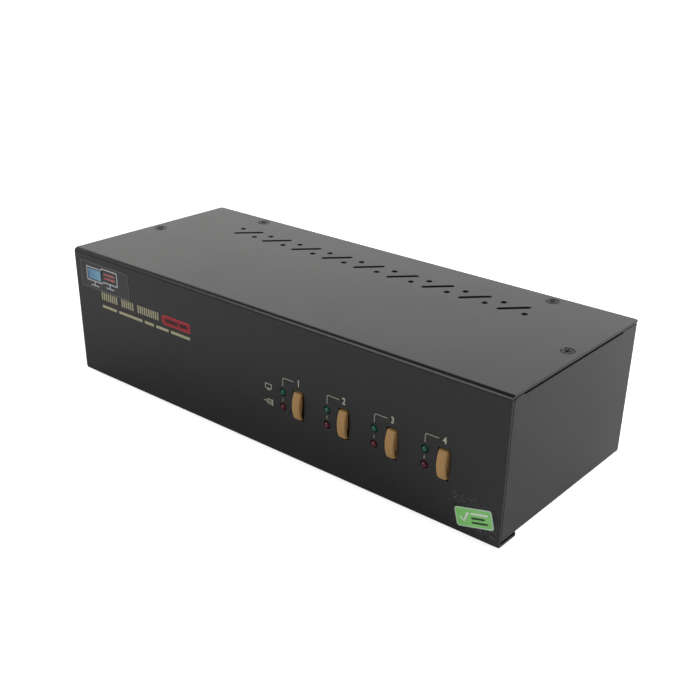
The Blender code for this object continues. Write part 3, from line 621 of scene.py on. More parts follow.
def plastic(name, colour, roughness=0.45, grain=0.3, bump=6, **even):
    # The paler edge colour: partly wear, partly a painted highlight.
    worn_and_highlit = tuple(min(part * 1.35 + 0.02, 1.0) for part in colour)
    return finish_like(name, colour, worn_and_highlit, roughness, grain, bump, dust=0.2, wear_and_highlight=0.35, reach=0.2, **even)


def ink(name, colour, roughness=0.55):
    """Screen-printed ink: thin in places, so that the paint under it shows in the pits."""
    made, graph, principled = shader(name)
    if graph is None:
        return made
    grainy = graph.group(grain_group(), Size=0.25 * MM)
    thin = graph.spread(grainy["Height"], 0.35, 0.62, 0.55, 1.0)
    base = graph.blend(thin, tuple(part * 0.35 for part in colour) + (1,), (*colour, 1))
    rough = graph.spread(grainy["Patches"], 0.0, 1.0, roughness - 0.08, roughness + 0.08)
    raised = graph.bump(grainy["Height"], 8 * MICRON)
    link(graph, principled, Base_Color=base, Roughness=rough, Normal=raised)
    return made


def lens_plastic(name, colour, settings):
    """Tinted resin, partly clear, with faint cloudy patches."""
    made, graph, principled = shader(
        name, Transmission_Weight=settings.clearness, IOR=1.54, Coat_Weight=1.0, Coat_Roughness=0.03,
    )
    if graph is None:
        return made
    grainy = graph.group(grain_group(), Size=0.8 * MM)
    base = graph.blend(grainy["Patches"], (*(part * 0.7 for part in colour), 1), (*colour, 1))
    rough = graph.spread(grainy["Speckle"], 0.3, 0.7, 0.06, 0.14)
    raised = graph.bump(grainy["Height"], 2 * MICRON)
    link(graph, principled, Base_Color=base, Roughness=rough, Normal=raised)
    return made


def clear_film():
    """A clear label film: it shows by its gloss, with faint wrinkles and specks caught under it."""
    made, graph, principled = shader("clear_film", Specular_IOR_Level=0.5)
    if graph is None:
        return made
    place_at = graph.add("TexCoord").outputs["Object"]
    wrinkles = graph.noise(place_at, 700.0, 4.0, 0.65)
    specks = graph.spread(graph.noise(place_at, 1500.0, 2.0), 0.60, 0.66)
    base = graph.blend(specks, (0.025, 0.027, 0.026, 1), (0.22, 0.22, 0.21, 1))
    seen = graph.spread(specks, 0.0, 1.0, 0.10, 0.6)
    rough = graph.spread(wrinkles, 0.3, 0.7, 0.18, 0.4)
    raised = graph.bump(wrinkles, 50 * MICRON)
    link(graph, principled, Base_Color=base, Alpha=seen, Roughness=rough, Normal=raised)
    return made


def label_paper(name, colour, far_colour, roughness=0.3):
    """A glossy printed label whose ground shades from one colour to another along its length."""
    made, graph, principled = shader(name, Coat_Weight=0.25, Coat_Roughness=0.15)
    if graph is None:
        return made
    place_at = graph.add("TexCoord").outputs["Generated"]
    across = graph.add("SeparateXYZ", {0: place_at}).outputs["X"]
    grainy = graph.group(grain_group(), Size=0.35 * MM)
    shade = graph.math("ADD", across, graph.spread(grainy["Speckle"], 0.3, 0.7, -0.08, 0.08), True)
    base = graph.blend(shade, (*colour, 1), (*far_colour, 1))
    rough = graph.spread(grainy["Patches"], 0.0, 1.0, roughness - 0.05, roughness + 0.1)
    raised = graph.bump(grainy["Height"], 4 * MICRON)
    link(graph, principled, Base_Color=base, Roughness=rough, Normal=raised)
    return made


def circuit_board(settings):
    """Green solder mask over copper: tracks run under it, with tinned pads left bare."""
    made, graph, principled = shader("solder_mask_green", IOR=1.5)
    if graph is None:
        return made
    place_at = graph.add("TexCoord").outputs["Object"]
    weave = {"Scale": 260.0, "Mortar Size": 0.16, "Mortar Smooth": 0.2}
    weave.update({"Brick Width": 3.5, "Row Height": 0.35})
    tracks = graph.add("TexBrick", {"Vector": place_at, **weave}).outputs["Fac"]
    cells = graph.add("TexVoronoi", {"Vector": place_at, "Scale": 160.0}, feature="F1", distance="CHEBYCHEV")
    pads = graph.spread(cells.outputs["Distance"], 0.14, 0.12)
    mask = tuple(settings.mask)
    copper = tuple(part * 1.9 for part in mask)
    base = graph.blend(graph.math("MULTIPLY", tracks, 0.8), (*copper, 1), (*mask, 1))
    base = graph.blend(pads, base, (0.62, 0.6, 0.55, 1))
    height = graph.math("SUBTRACT", graph.math("MULTIPLY", pads, 0.6), tracks)
    raised = graph.bump(height, 30 * MICRON)
    rough = graph.spread(pads, 0.0, 1.0, 0.32, 0.22)
    link(graph, principled, Base_Color=base, Roughness=rough, Metallic=pads, Normal=raised)
    return made


# ---------------------------------------------------------------- settings


def colour_setting(name, description, default):
    return FloatVectorProperty(
        name=name, description=description, default=default, subtype="COLOR", size=3, min=0.0, max=1.0,
    )


def length_setting(name, description, default):
    return FloatProperty(name=name, description=description, default=default, min=0.0, unit="LENGTH")


def share_setting(name, description, default):
    return FloatProperty(
        name=name, description=description, default=default, min=0.0, max=1.0, subtype="FACTOR",
    )


def power_setting(name, description, default):
    return FloatProperty(name=name, description=description, default=default, min=0.0, unit="POWER")


class KVM_PG_case(PropertyGroup):
    paint: colour_setting("Paint", "Powder coat of all the sheets", (0.0100, 0.0112, 0.0105))
    gloss: share_setting("Roughness", "How matte the powder coat is", 0.3)
    sheen: share_setting("Sheen", "How strongly the powder coat reflects", 0.5)
    cover_bend: length_setting("Cover bend", "Outside radius of the bend over the front", 2.4 * MM)
    lip_bend: length_setting("Lip bend", "Outside radius of the bend under the front", 1.4 * MM)
    cover_edge: length_setting("Cover edge", "How much the paint rounds the cover's cut edges", 0.22 * MM)
    seam: length_setting("Seam", "Height of the open seam under the cover's side edges", 0.65 * MM)
    chassis_edge: length_setting("Chassis edge", "How much paint rounds the other sheets' edges", 0.15 * MM)
    rubber: colour_setting("Rubber", "Feet under the chassis", (0.018, 0.018, 0.018))


class KVM_PG_front(PropertyGroup):
    ink: colour_setting("Ink", "Numerals, brackets and symbols", (0.56, 0.55, 0.44))
    gold: colour_setting("Gold ink", "Heading marks", (0.50, 0.47, 0.30))
    accent: colour_setting("Accent", "Rounded patch beside the heading", (0.55, 0.03, 0.05))
    numeral: length_setting("Numeral height", "Height of the channel numbers", 3.3 * MM)
    line: length_setting("Line width", "Width of the bracket lines", 0.28 * MM)
    label: colour_setting("Emblem label", "Ground of the label at the upper left", (0.018, 0.019, 0.020))
    sticker: colour_setting("Sticker", "Ground of the sticker at the lower right", (0.25, 0.72, 0.17))


class KVM_PG_buttons(PropertyGroup):
    plastic: colour_setting("Plastic", "Moulded button caps", (0.50, 0.285, 0.100))
    edge: length_setting("Edge radius", "Rounding of the caps' edges", 0.8 * MM)
    switch_body: colour_setting("Switch body", "Key switches behind the caps", (0.02, 0.02, 0.021))
    plunger: colour_setting("Plunger", "Key switch plungers", (0.55, 0.52, 0.45))


class KVM_PG_leds(PropertyGroup):
    computer: colour_setting("Computer light", "Unlit lens of each upper light", (0.001, 0.020, 0.014))
    hub: colour_setting("Hub light", "Unlit lens of each lower light", (0.026, 0.001, 0.003))
    clearness: share_setting("Clearness", "How much light passes through the lenses", 0.2)


class KVM_PG_sockets(PropertyGroup):
    insulator: colour_setting("Insulator", "Plastic round the screen sockets' contacts", (0.75, 0.74, 0.70))
    housing: colour_setting("Housing", "Black plastic of the other sockets", (0.015, 0.015, 0.016))
    speaker: colour_setting("Speaker ring", "Ring round each speaker jack", (0.10, 0.42, 0.09))
    microphone: colour_setting("Microphone ring", "Ring round each microphone jack", (0.62, 0.16, 0.24))
    rear_ink: colour_setting("Rear ink", "Numbers and symbols beside the sockets", (0.60, 0.59, 0.50))


class KVM_PG_boards(PropertyGroup):
    mask: colour_setting("Solder mask", "Lacquer on the circuit boards", (0.010, 0.085, 0.030))
    chip: colour_setting("Chip", "Moulded epoxy of the chips", (0.012, 0.012, 0.013))
    sink: colour_setting("Heat sink", "Anodised heat sinks", (0.05, 0.05, 0.055))


class KVM_PG_stage(PropertyGroup):
    floor: colour_setting("Floor", "Floor under the object", (0.86, 0.86, 0.86))
    lens: FloatProperty(
        name="Lens", description="Focal length of the camera", default=0.05223, min=0.001, unit="CAMERA",
    )
    key: power_setting("Key light", "Strength of the light behind", 4.4)
    side: power_setting("Side light", "Strength of the light at the right", 15.0)
    bend: power_setting("Bend light", "Strength of the light over the front", 3.6)
    spark: power_setting("Spark light", "Strength of the small light beside the camera", 0.8)


# ---------------------------------------------------------------- case


def screw_places():
    return [middle(f"cover_screw_{number}") for number in SCREWS]


def countersink(spot):
    """A recipe for the dish that a cover screw's head sits in."""
    low = TOP - HEAD_SINK - HEAD_DEPTH - FIT
    neck, mouth = SCREW_SHANK + FIT, SCREW_HEAD + FIT
    profile = [
        (0, TOP - SHEET - CUT_MARGIN), (neck, TOP - SHEET - CUT_MARGIN), (neck, low),
        (mouth, TOP - HEAD_SINK), (mouth, TOP + CUT_MARGIN), (0, TOP + CUT_MARGIN),
    ]
    return lathe("XY", (spot.x, spot.y), profile)


def vent_cuts():
    """Slanting slots in a row, each with a round hole beside either end."""
    through = (TOP - SHEET - CUT_MARGIN, TOP + CUT_MARGIN)
    row = BACK - VENT_FROM_REAR
    cuts = []
    for vent in range(VENT_COUNT):
        x = VENT_SHIFT + (vent - (VENT_COUNT - 1) / 2) * VENT_PITCH
        cuts.append(prism("XY", capsule((x, row), VENT_LENGTH, VENT_WIDTH, VENT_ANGLE), *through))
        for side in (-1, 1):
            centre = (x + side * VENT_HOLE_STEP[0], row - side * VENT_HOLE_STEP[1])
            cuts.append(prism("XY", circle(centre, VENT_HOLE, 24), *through))
    return cuts


def front_cuts():
    """Button slots and LED holes through the front face."""
    ahead = (FRONT - CUT_MARGIN, FRONT + SHEET + CUT_MARGIN)
    cuts = []
    for channel in CHANNELS:
        cuts.append(prism("XZ", slot_outline(channel), *ahead))
        for row in ("computer", "hub"):
            spot = middle(f"{row}_led_{channel}")
            cuts.append(prism("XZ", circle((spot.x, spot.z), LED_HOLE, 32), *ahead))
    return cuts


def cap_size(channel):
    """The middle, half width and half height of a button's cap, inside its retaining flange."""
    low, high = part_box(f"channel_button_{channel}")
    rim = SLOT_GAP + CAP_RIM
    spot = (low + high) / 2
    return spot, (high.x - low.x) / 2 - rim, (high.z - low.z) / 2 - rim


def slot_outline(channel):
    spot, half, rise = cap_size(channel)
    return rounded(*around(spot.x, half + SLOT_GAP), *around(spot.z, rise + SLOT_GAP), SLOT_CORNER)


def corner_cuts():
    """What comes off the lip's rear corners and the top's rear corners."""
    cuts = []
    under = (LIP - CUT_MARGIN, LIP + LIP_THROUGH)
    through = (TOP - SHEET - CUT_MARGIN, TOP + CUT_MARGIN)
    end = FRONT + LIP_DEPTH
    for side in (-1, 1):
        inner, outer = RIGHT - LIP_INSET, RIGHT + CUT_MARGIN
        outline = [(inner, FRONT - CUT_MARGIN), (outer, FRONT - CUT_MARGIN), (outer, end + CUT_MARGIN)]
        outline += [(inner - LIP_CORNER, end + CUT_MARGIN)]
        outline += arc((inner - LIP_CORNER, end - LIP_CORNER), LIP_CORNER, 90, 0, 8)
        cuts.append(prism("XY", [(side * x, y) for x, y in outline], *under))
        centre = (RIGHT - COVER_CORNER, BACK - COVER_CORNER)
        outline = [(outer, centre[1]), (outer, BACK + CUT_MARGIN), (centre[0], BACK + CUT_MARGIN)]
        outline += arc(centre, COVER_CORNER, 90, 0, 6)
        cuts.append(prism("XY", [(side * x, y) for x, y in outline], *through))
    return cuts


class KVM_OT_cover(Operator):
    """Bends the top, front and lip from one sheet, punches it and coats it"""

    bl_idname = "kvm.cover"
    bl_label = "Cover"

    def execute(self, context):
        settings = context.scene.kvm_case
        path = [(BACK, TOP), (FRONT, TOP), (FRONT, LIP), (FRONT + LIP_DEPTH, LIP)]
        profile = bent_sheet(path, (settings.cover_bend, settings.lip_bend), SHEET, 12)
        cover = make("bent_cover", [prism("YZ", profile, LEFT, RIGHT)], [powder_coat(settings)])
        dishes = [countersink(spot) for spot in screw_places()]
        carve(cover, vent_cuts() + front_cuts() + corner_cuts() + dishes)
        soften(cover, settings.cover_edge)
        fit(cover, "case_paint", replaces=["top_front_cover"])
        return {"FINISHED"}


class KVM_OT_chassis(Operator):
    """Finishes the chassis and the rear panel, and adds the supports' pressed heads below"""

    bl_idname = "kvm.chassis"
    bl_label = "Chassis and rear panel"

    def execute(self, context):
        settings = context.scene.kvm_case
        paint = powder_coat(settings)
        repaint("rear_panel", paint)
        round_packed("rear_panel", settings.chassis_edge)
        chassis = copy_packed("folded_chassis", "chassis", paint)
        level = CHASSIS_HIGH.z - settings.seam
        along = (FRONT + FLANGE_START - FLANGE_RELIEF, BACK - FLANGE_END + FLANGE_RELIEF)
        walls = [
            box(sorted((side * RIGHT, side * (RIGHT - SHEET))), along, (level - WALL_OVERLAP, level))
            for side in (-1, 1)
        ]
        carve(chassis, walls, "UNION")
        soften(chassis, settings.chassis_edge)
        fit(chassis, "case_paint", replaces=["chassis"])
        heads = []
        base = CHASSIS_LOW.z
        foot, sunk, radius = base - 0.08 * MM, base + FIT, 2.4 * MM
        profile = [(0, foot), (radius - 0.1 * MM, foot), (radius, base), (radius, sunk), (0, sunk)]
        for number in SPACERS:
            spot = middle(f"board_spacer_{number}")
            heads.append(lathe("XY", (spot.x, spot.y), profile))
        presses = make("support_press_heads", heads, [plated_steel()])
        smooth(presses)
        fit(presses, "plated_steel")
        return {"FINISHED"}


def screw_recess(spot, top):
    """A recipe for a cross recess whose arms narrow towards their foot."""
    levels = ((2.0 * MM, 0.5 * MM, top + 0.2 * MM), (1.2 * MM, 0.32 * MM, top - 0.8 * MM))
    rings = []
    for reach, half, depth in levels:
        arm = ((reach, -half), (reach, half), (half, half))
        cross = [point for quarter in range(4) for point in turned(arm, (0, 0), 90 * quarter)]
        rings.append(level_ring("XY", moved(cross, spot.x, spot.y), depth))
    return loft(rings)


class KVM_OT_screws(Operator):
    """Makes the countersunk cover screws"""

    bl_idname = "kvm.screws"
    bl_label = "Cover screws"

    def execute(self, context):
        paint = black_oxide()
        top = TOP - HEAD_SINK
        neck = top - HEAD_DEPTH
        for number, spot in zip(SCREWS, screw_places()):
            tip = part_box(f"cover_screw_{number}")[0].z
            profile = [(0, tip), (0.9 * MM, tip), (SCREW_SHANK, tip + 0.75 * MM)]
            thread = tip + 1.0 * MM
            while thread < neck - 0.6 * MM:
                profile += [(SCREW_SHANK - 0.22 * MM, thread + 0.2 * MM), (SCREW_SHANK, thread + 0.4 * MM)]
                thread += 0.5 * MM
            profile += [
                (SCREW_SHANK, neck), (SCREW_HEAD - 0.06 * MM, top - 0.14 * MM), (SCREW_HEAD, top - 0.08 * MM),
                (SCREW_HEAD - 0.06 * MM, top), (0, top),
            ]
            screw = make(f"countersunk_screw_{number}", [lathe("XY", (spot.x, spot.y), profile, 36)], [paint])
            carve(screw, [screw_recess(spot, top)])
            smooth(screw, 32)
            fit(screw, "black_screw", replaces=[f"cover_screw_{number}"])
        return {"FINISHED"}


class KVM_OT_feet(Operator):
    """Makes the rubber feet with rounded rims and a moulded hollow below"""

    bl_idname = "kvm.feet"
    bl_label = "Feet"

    def execute(self, context):
        rubber = plastic("foot_rubber", tuple(context.scene.kvm_case.rubber), 0.8, 0.5, 20)
        for number in FEET:
            low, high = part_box(f"rubber_foot_{number}")
            spot = (low + high) / 2
            wide, tall = (high.x - low.x) / 2, high.z
            foot = wide - 0.5 * MM
            profile = [(0, 0.9 * MM), (2.6 * MM, 0.9 * MM), (3.0 * MM, 0.7 * MM), (3.3 * MM, 0.15 * MM)]
            profile += [(3.6 * MM, 0.0), (foot - 0.7 * MM, 0.0)]
            profile += [(r, z) for r, z in arc((foot - 0.7 * MM, 0.7 * MM), 0.7 * MM, -75, 0, 5)]
            profile += [(wide - 0.3 * MM, tall - 0.4 * MM), (wide, tall - 0.3 * MM), (wide, tall), (0, tall)]
            made = make(f"moulded_foot_{number}", [lathe("XY", (spot.x, spot.y), profile, 40)], [rubber])
            smooth(made)
            fit(made, "foot_rubber", replaces=[f"rubber_foot_{number}"])
        return {"FINISHED"}


# ---------------------------------------------------------------- channels


def cap_profile(spot, rise, front, behind):
    """The cap's side view: a shallow arc across the front, from one end face to the other."""
    radius = (rise * rise + BUTTON_RISE * BUTTON_RISE) / (2 * BUTTON_RISE)
    swing = math.degrees(math.asin(rise / radius))
    outline = arc((front + radius, spot.z), radius, 180 - swing, 180 + swing, 28)
    return outline + [(behind, spot.z - rise), (behind, spot.z + rise)]


def crowned(outline, x, half):
    """A recipe for the cap's body: its front face is also a little round from side to side."""
    face = len(outline) - 2
    rings = []
    for step in range(-5, 6):
        station = step / 5
        back = CAP_CROWN * station * station
        rings.append([
            (x + station * half, u + back if index < face else u, v) for index, (u, v) in enumerate(outline)
        ])
    return loft(rings)


class KVM_OT_buttons(Operator):
    """Moulds the button caps, each with its flange and stem"""

    bl_idname = "kvm.buttons"
    bl_label = "Buttons"

    def execute(self, context):
        settings = context.scene.kvm_buttons
        paint = plastic("button_plastic_tan", tuple(settings.plastic), 0.42, 0.35, 5, Specular_IOR_Level=0.5)
        for channel in CHANNELS:
            low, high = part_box(f"channel_button_{channel}")
            spot, half, rise = cap_size(channel)
            flange = FRONT + SHEET + FIT
            outline = cap_profile(spot, rise, low.y, flange + 0.6 * MM)
            cap = make(f"button_cap_{channel}", [crowned(outline, spot.x, half)], [paint])
            soften(cap, settings.edge, 4, 40)
            stem = (flange + SHEET - FIT, high.y)
            backing = [
                box((low.x, high.x), (flange, flange + SHEET), (low.z, high.z)),
                box(around(spot.x, 1.7 * MM), stem, around(spot.z, 1.7 * MM)),
            ]
            carve(cap, backing, "UNION")
            smooth(cap, 32)
            fit(cap, "button_plastic", f"channel_{channel}", [f"channel_button_{channel}"])
        return {"FINISHED"}


class KVM_OT_switches(Operator):
    """Makes the key switches with their steel covers, legs and plungers"""

    bl_idname = "kvm.switches"
    bl_label = "Key switches"

    def execute(self, context):
        settings = context.scene.kvm_buttons
        base = plastic("switch_plastic", tuple(settings.switch_body), 0.5)
        steel = plated_steel()
        ivory = plastic("plunger_plastic", tuple(settings.plunger), 0.45)
        for channel in CHANNELS:
            low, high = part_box(f"key_switch_{channel}")
            spot = (low + high) / 2
            half = (high.x - low.x) / 2
            bore = 1.95 * MM
            cover = [low.y, low.y + 0.3 * MM]
            inner = circle((spot.x, spot.z), bore, 32, 45)
            square = [self.on_square(spot, half - 0.1 * MM, 45 + 360 * side / 32) for side in range(32)]
            recipes = [hollow("XZ", square, inner, *cover, 1)]
            square = [self.on_square(spot, half, 45 + 360 * side / 32) for side in range(32)]
            recipes.append(hollow("XZ", square, inner, cover[1], cover[1] + 1.9 * MM))
            recipes.append(prism("XZ", square, cover[1] + 1.9 * MM, high.y))
            for x in (-1, 1):
                for z in (-1, 1):
                    across = sorted((spot.x + x * half, spot.x + x * (half - 0.5 * MM)))
                    level = sorted((spot.z + z * 1.6 * MM, spot.z + z * 2.4 * MM))
                    recipes.append(box(across, (high.y - 0.6 * MM, high.y + 0.2 * MM), level, 1))
                    away = half - 0.9 * MM
                    pin = circle((spot.x + x * away, spot.z + z * away), 0.35 * MM, 12)
                    recipes.append(prism("XZ", pin, low.y - 0.12 * MM, cover[1], 0))
            body = make(f"tactile_switch_{channel}", recipes, [base, steel])
            smooth(body, 30)
            fit(body, "switch_plastic", replaces=[f"key_switch_{channel}"])
            low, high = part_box(f"key_plunger_{channel}")
            radius = (high.x - low.x) / 2
            profile = [
                (0, low.y), (radius - 0.25 * MM, low.y), (radius, low.y + 0.25 * MM),
                (radius, low.y + 0.9 * MM), (radius - 0.12 * MM, low.y + 1.0 * MM),
                (radius - 0.12 * MM, high.y), (0, high.y),
            ]
            plunger = make(f"plunger_{channel}", [lathe("XZ", (spot.x, spot.z), profile)], [ivory])
            smooth(plunger)
            fit(plunger, "plunger_plastic", f"channel_{channel}", [f"key_plunger_{channel}"])
        return {"FINISHED"}

    @staticmethod
    def on_square(spot, half, angle):
        """The point of a square's outline at an angle from its middle, in degrees."""
        c, s = math.cos(math.radians(angle)), math.sin(math.radians(angle))
        reach = half / max(abs(c), abs(s))
        return spot.x + reach * c, spot.z + reach * s


def led_lens(spot, low, base):
    """A recipe for a 3 mm lens: dome, barrel and rim."""
    radius, rim = 1.5 * MM, 1.8 * MM
    dome = [
        (radius * math.sin(math.radians(a)), low + radius * (1 - math.cos(math.radians(a))))
        for a in range(10, 90, 10)
    ]
    profile = [(0, low)] + dome + [
        (radius, low + radius), (radius, base - 1.0 * MM), (rim - 0.1 * MM, base - 1.0 * MM),
        (rim, base - 0.9 * MM), (rim, base), (0, base),
    ]
    return lathe("XZ", (spot.x, spot.z), profile, 32)


class KVM_OT_leds(Operator):
    """Makes the lights: tinted lenses with two leads behind"""

    bl_idname = "kvm.leds"
    bl_label = "Lights"

    def execute(self, context):
        settings = context.scene.kvm_leds
        lenses = {
            "computer": (lens_plastic("green_lens", tuple(settings.computer), settings), "green_lens"),
            "hub": (lens_plastic("red_lens", tuple(settings.hub), settings), "red_lens"),
        }
        steel = plated_steel()
        for row, (paint, slot) in lenses.items():
            for channel in CHANNELS:
                node = f"{row}_led_{channel}"
                low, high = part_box(node)
                spot = (low + high) / 2
                base = low.y + 5.3 * MM
                lens = make(f"{row}_lens_{channel}", [led_lens(spot, low.y, base)], [paint])
                smooth(lens)
                fit(lens, slot, replaces=[node])
                half, along = 0.25 * MM, (base + 0.02 * MM, high.y)
                parts = [
                    box(around(spot.x + lead, half), along, around(spot.z, half))
                    for lead in (-1.27 * MM, 1.27 * MM)
                ]
                leads = make(f"{row}_leads_{channel}", parts, [steel])
                soften(leads, 0.08 * MM)
                fit(leads, "plated_steel")
        return {"FINISHED"}


# ---------------------------------------------------------------- front printing


def channel_spots():
    """Each channel's button middle with its upper and lower light's middle."""
    return [(cap_size(n)[0], middle(f"computer_led_{n}"), middle(f"hub_led_{n}")) for n in CHANNELS]


def bracket(upper, button, settings):
    """A line that rises from the upper light and turns towards the channel's number."""
    level = LIP + 40.6 * MM
    start, corner = upper.z + 3.3 * MM, 0.9 * MM
    path = [(upper.x, start)]
    path += arc((upper.x + corner, level - corner), corner, 180, 90, 4)
    path.append((button.x - 2.9 * MM, level))
    return front_print(strip(path, settings.line))


def screen_symbol(x, z, width, height, line, patch):
    """A plain screen on a foot, drawn in lines. patch turns an outline into a recipe."""
    left, right = around(x, width / 2)
    base, high = around(z, height / 2)
    low = base + height * 0.24
    bars = [
        (left, right, high - line, high), (left, right, low, low + line),
        (left, left + line, low + line, high - line), (right - line, right, low + line, high - line),
        (*around(x, line / 2), base + line, low), (*around(x, width / 4), base, base + line),
    ]
    return [patch(rectangle(*bar)) for bar in bars]


def hub_symbol(x, z, width, height, line, patch):
    """One line that splits into three, each ending in a square."""
    left, right = around(x, width / 2)
    knot, end = x - width * 0.12, height * 0.14
    lower, upper = around(z, height / 2 - end)
    bars = [(left, right - 2 * end, *around(z, line / 2)), (*around(knot, line / 2), lower, upper)]
    bars += [(knot + line / 2, right - 2 * end, *around(level, line / 2)) for level in (lower, upper)]
    bars += [(right - 2 * end, right, *around(level, end)) for level in (lower, z, upper)]
    return [patch(rectangle(*bar)) for bar in bars]


def mark_groups(left, right, groups):
    """Splits a row into groups of even places, and gives each group's start, pitch and count."""
    between = 0.8
    pitch = (right - left) / (sum(groups) + (len(groups) - 1) * between)
    x = left
    for count in groups:
        yield x, pitch, count
        x += (count + between) * pitch


def upright_marks(left, right, low, high, groups, patch):
    """A row of plain upright strokes in groups, which stands where a heading would be."""
    strokes = []
    for start, pitch, count in mark_groups(left, right, groups):
        for place in range(2 * count):
            x = start + place * pitch / 2
            strokes.append(patch(rectangle(x, x + pitch * 0.28, low, high)))
    return strokes


def level_marks(left, right, low, high, groups, patch):
    """A row of plain dashes, one to a group, which stands where a line of small print would be."""
    return [
        patch(rectangle(start, start + count * pitch, low, high))
        for start, pitch, count in mark_groups(left, right, groups)
    ]


class KVM_OT_front_print(Operator):
    """Prints the channel numbers, brackets, row symbols and heading marks on the front"""

    bl_idname = "kvm.front_print"
    bl_label = "Front printing"

    def execute(self, context):
        settings = context.scene.kvm_front
        pale = ink("ink_pale", tuple(settings.ink))
        gold = ink("ink_gold", tuple(settings.gold))
        red = ink("ink_red", tuple(settings.accent))
        dark = ink("ink_dark", (0.03, 0.01, 0.01))
        numbers, lines = [], []
        for number, (button, upper, lower) in enumerate(channel_spots(), 1):
            numbers.append(letter(str(number), settings.numeral, (button.x, LIP + 40.65 * MM), -1))
            lines.append(bracket(upper, button, settings))
            tick = (upper.z + lower.z) / 2
            half = settings.line / 2
            lines.append(front_print(rectangle(*around(upper.x, half), *around(tick, 0.75 * MM))))
        first = channel_spots()[0]
        line = settings.line * 1.3
        lines += screen_symbol(LEFT + 141.9 * MM, first[1].z, 4.2 * MM, 3.4 * MM, line, front_print)
        lines += hub_symbol(LEFT + 141.8 * MM, first[2].z, 6.0 * MM, 3.0 * MM, line, front_print)
        for name, parts, paint in (("channel_numbers", numbers, pale), ("channel_lines", lines, pale)):
            fit(make(name, parts, [paint]), "case_paint")
        row = (LEFT + 20.3 * MM, LEFT + 66.2 * MM, LIP + 45.7 * MM, LIP + 50.0 * MM)
        marks = upright_marks(*row, (4, 3, 5), front_print)
        row = (LEFT + 20.3 * MM, LEFT + 88.5 * MM, LIP + 41.3 * MM, LIP + 42.8 * MM)
        marks += level_marks(*row, (5, 8, 3, 4, 6), front_print)
        fit(make("heading_marks", marks, [gold]), "case_paint")
        outline = self.pill(
            LEFT + 68 * MM, LEFT + 88.9 * MM, LIP + 44.8 * MM, LIP + 50 * MM, 2.5 * MM, 0.5 * MM,
        )
        core = self.pill(
            LEFT + 68.7 * MM, LEFT + 88.2 * MM, LIP + 45.5 * MM, LIP + 49.3 * MM, 1.8 * MM, 0.3 * MM,
        )
        deep = ink("ink_deep_red", tuple(part * 0.6 for part in settings.accent))
        patch = [front_print(outline), front_print(core, 1, 1.3 * PRINT_PROUD, -0.5 * PRINT_PROUD)]
        fit(make("accent_patch", patch, [red, deep]), "case_paint")

        def over_patch(shape):
            return front_print(shape, proud=2 * PRINT_PROUD, root=-0.5 * PRINT_PROUD)

        row = (LEFT + 70.9 * MM, LEFT + 86.8 * MM, LIP + 46.6 * MM, LIP + 48.2 * MM)
        marks = level_marks(*row, (5, 3), over_patch)
        fit(make("accent_marks", marks, [dark]), "case_paint")
        return {"FINISHED"}

    @staticmethod
    def pill(left, right, low, high, blunt, tight):
        """A rectangle whose left corners are blunt and whose right corners are tight."""
        return rounded(left, right, low, high, (tight, blunt, blunt, tight))


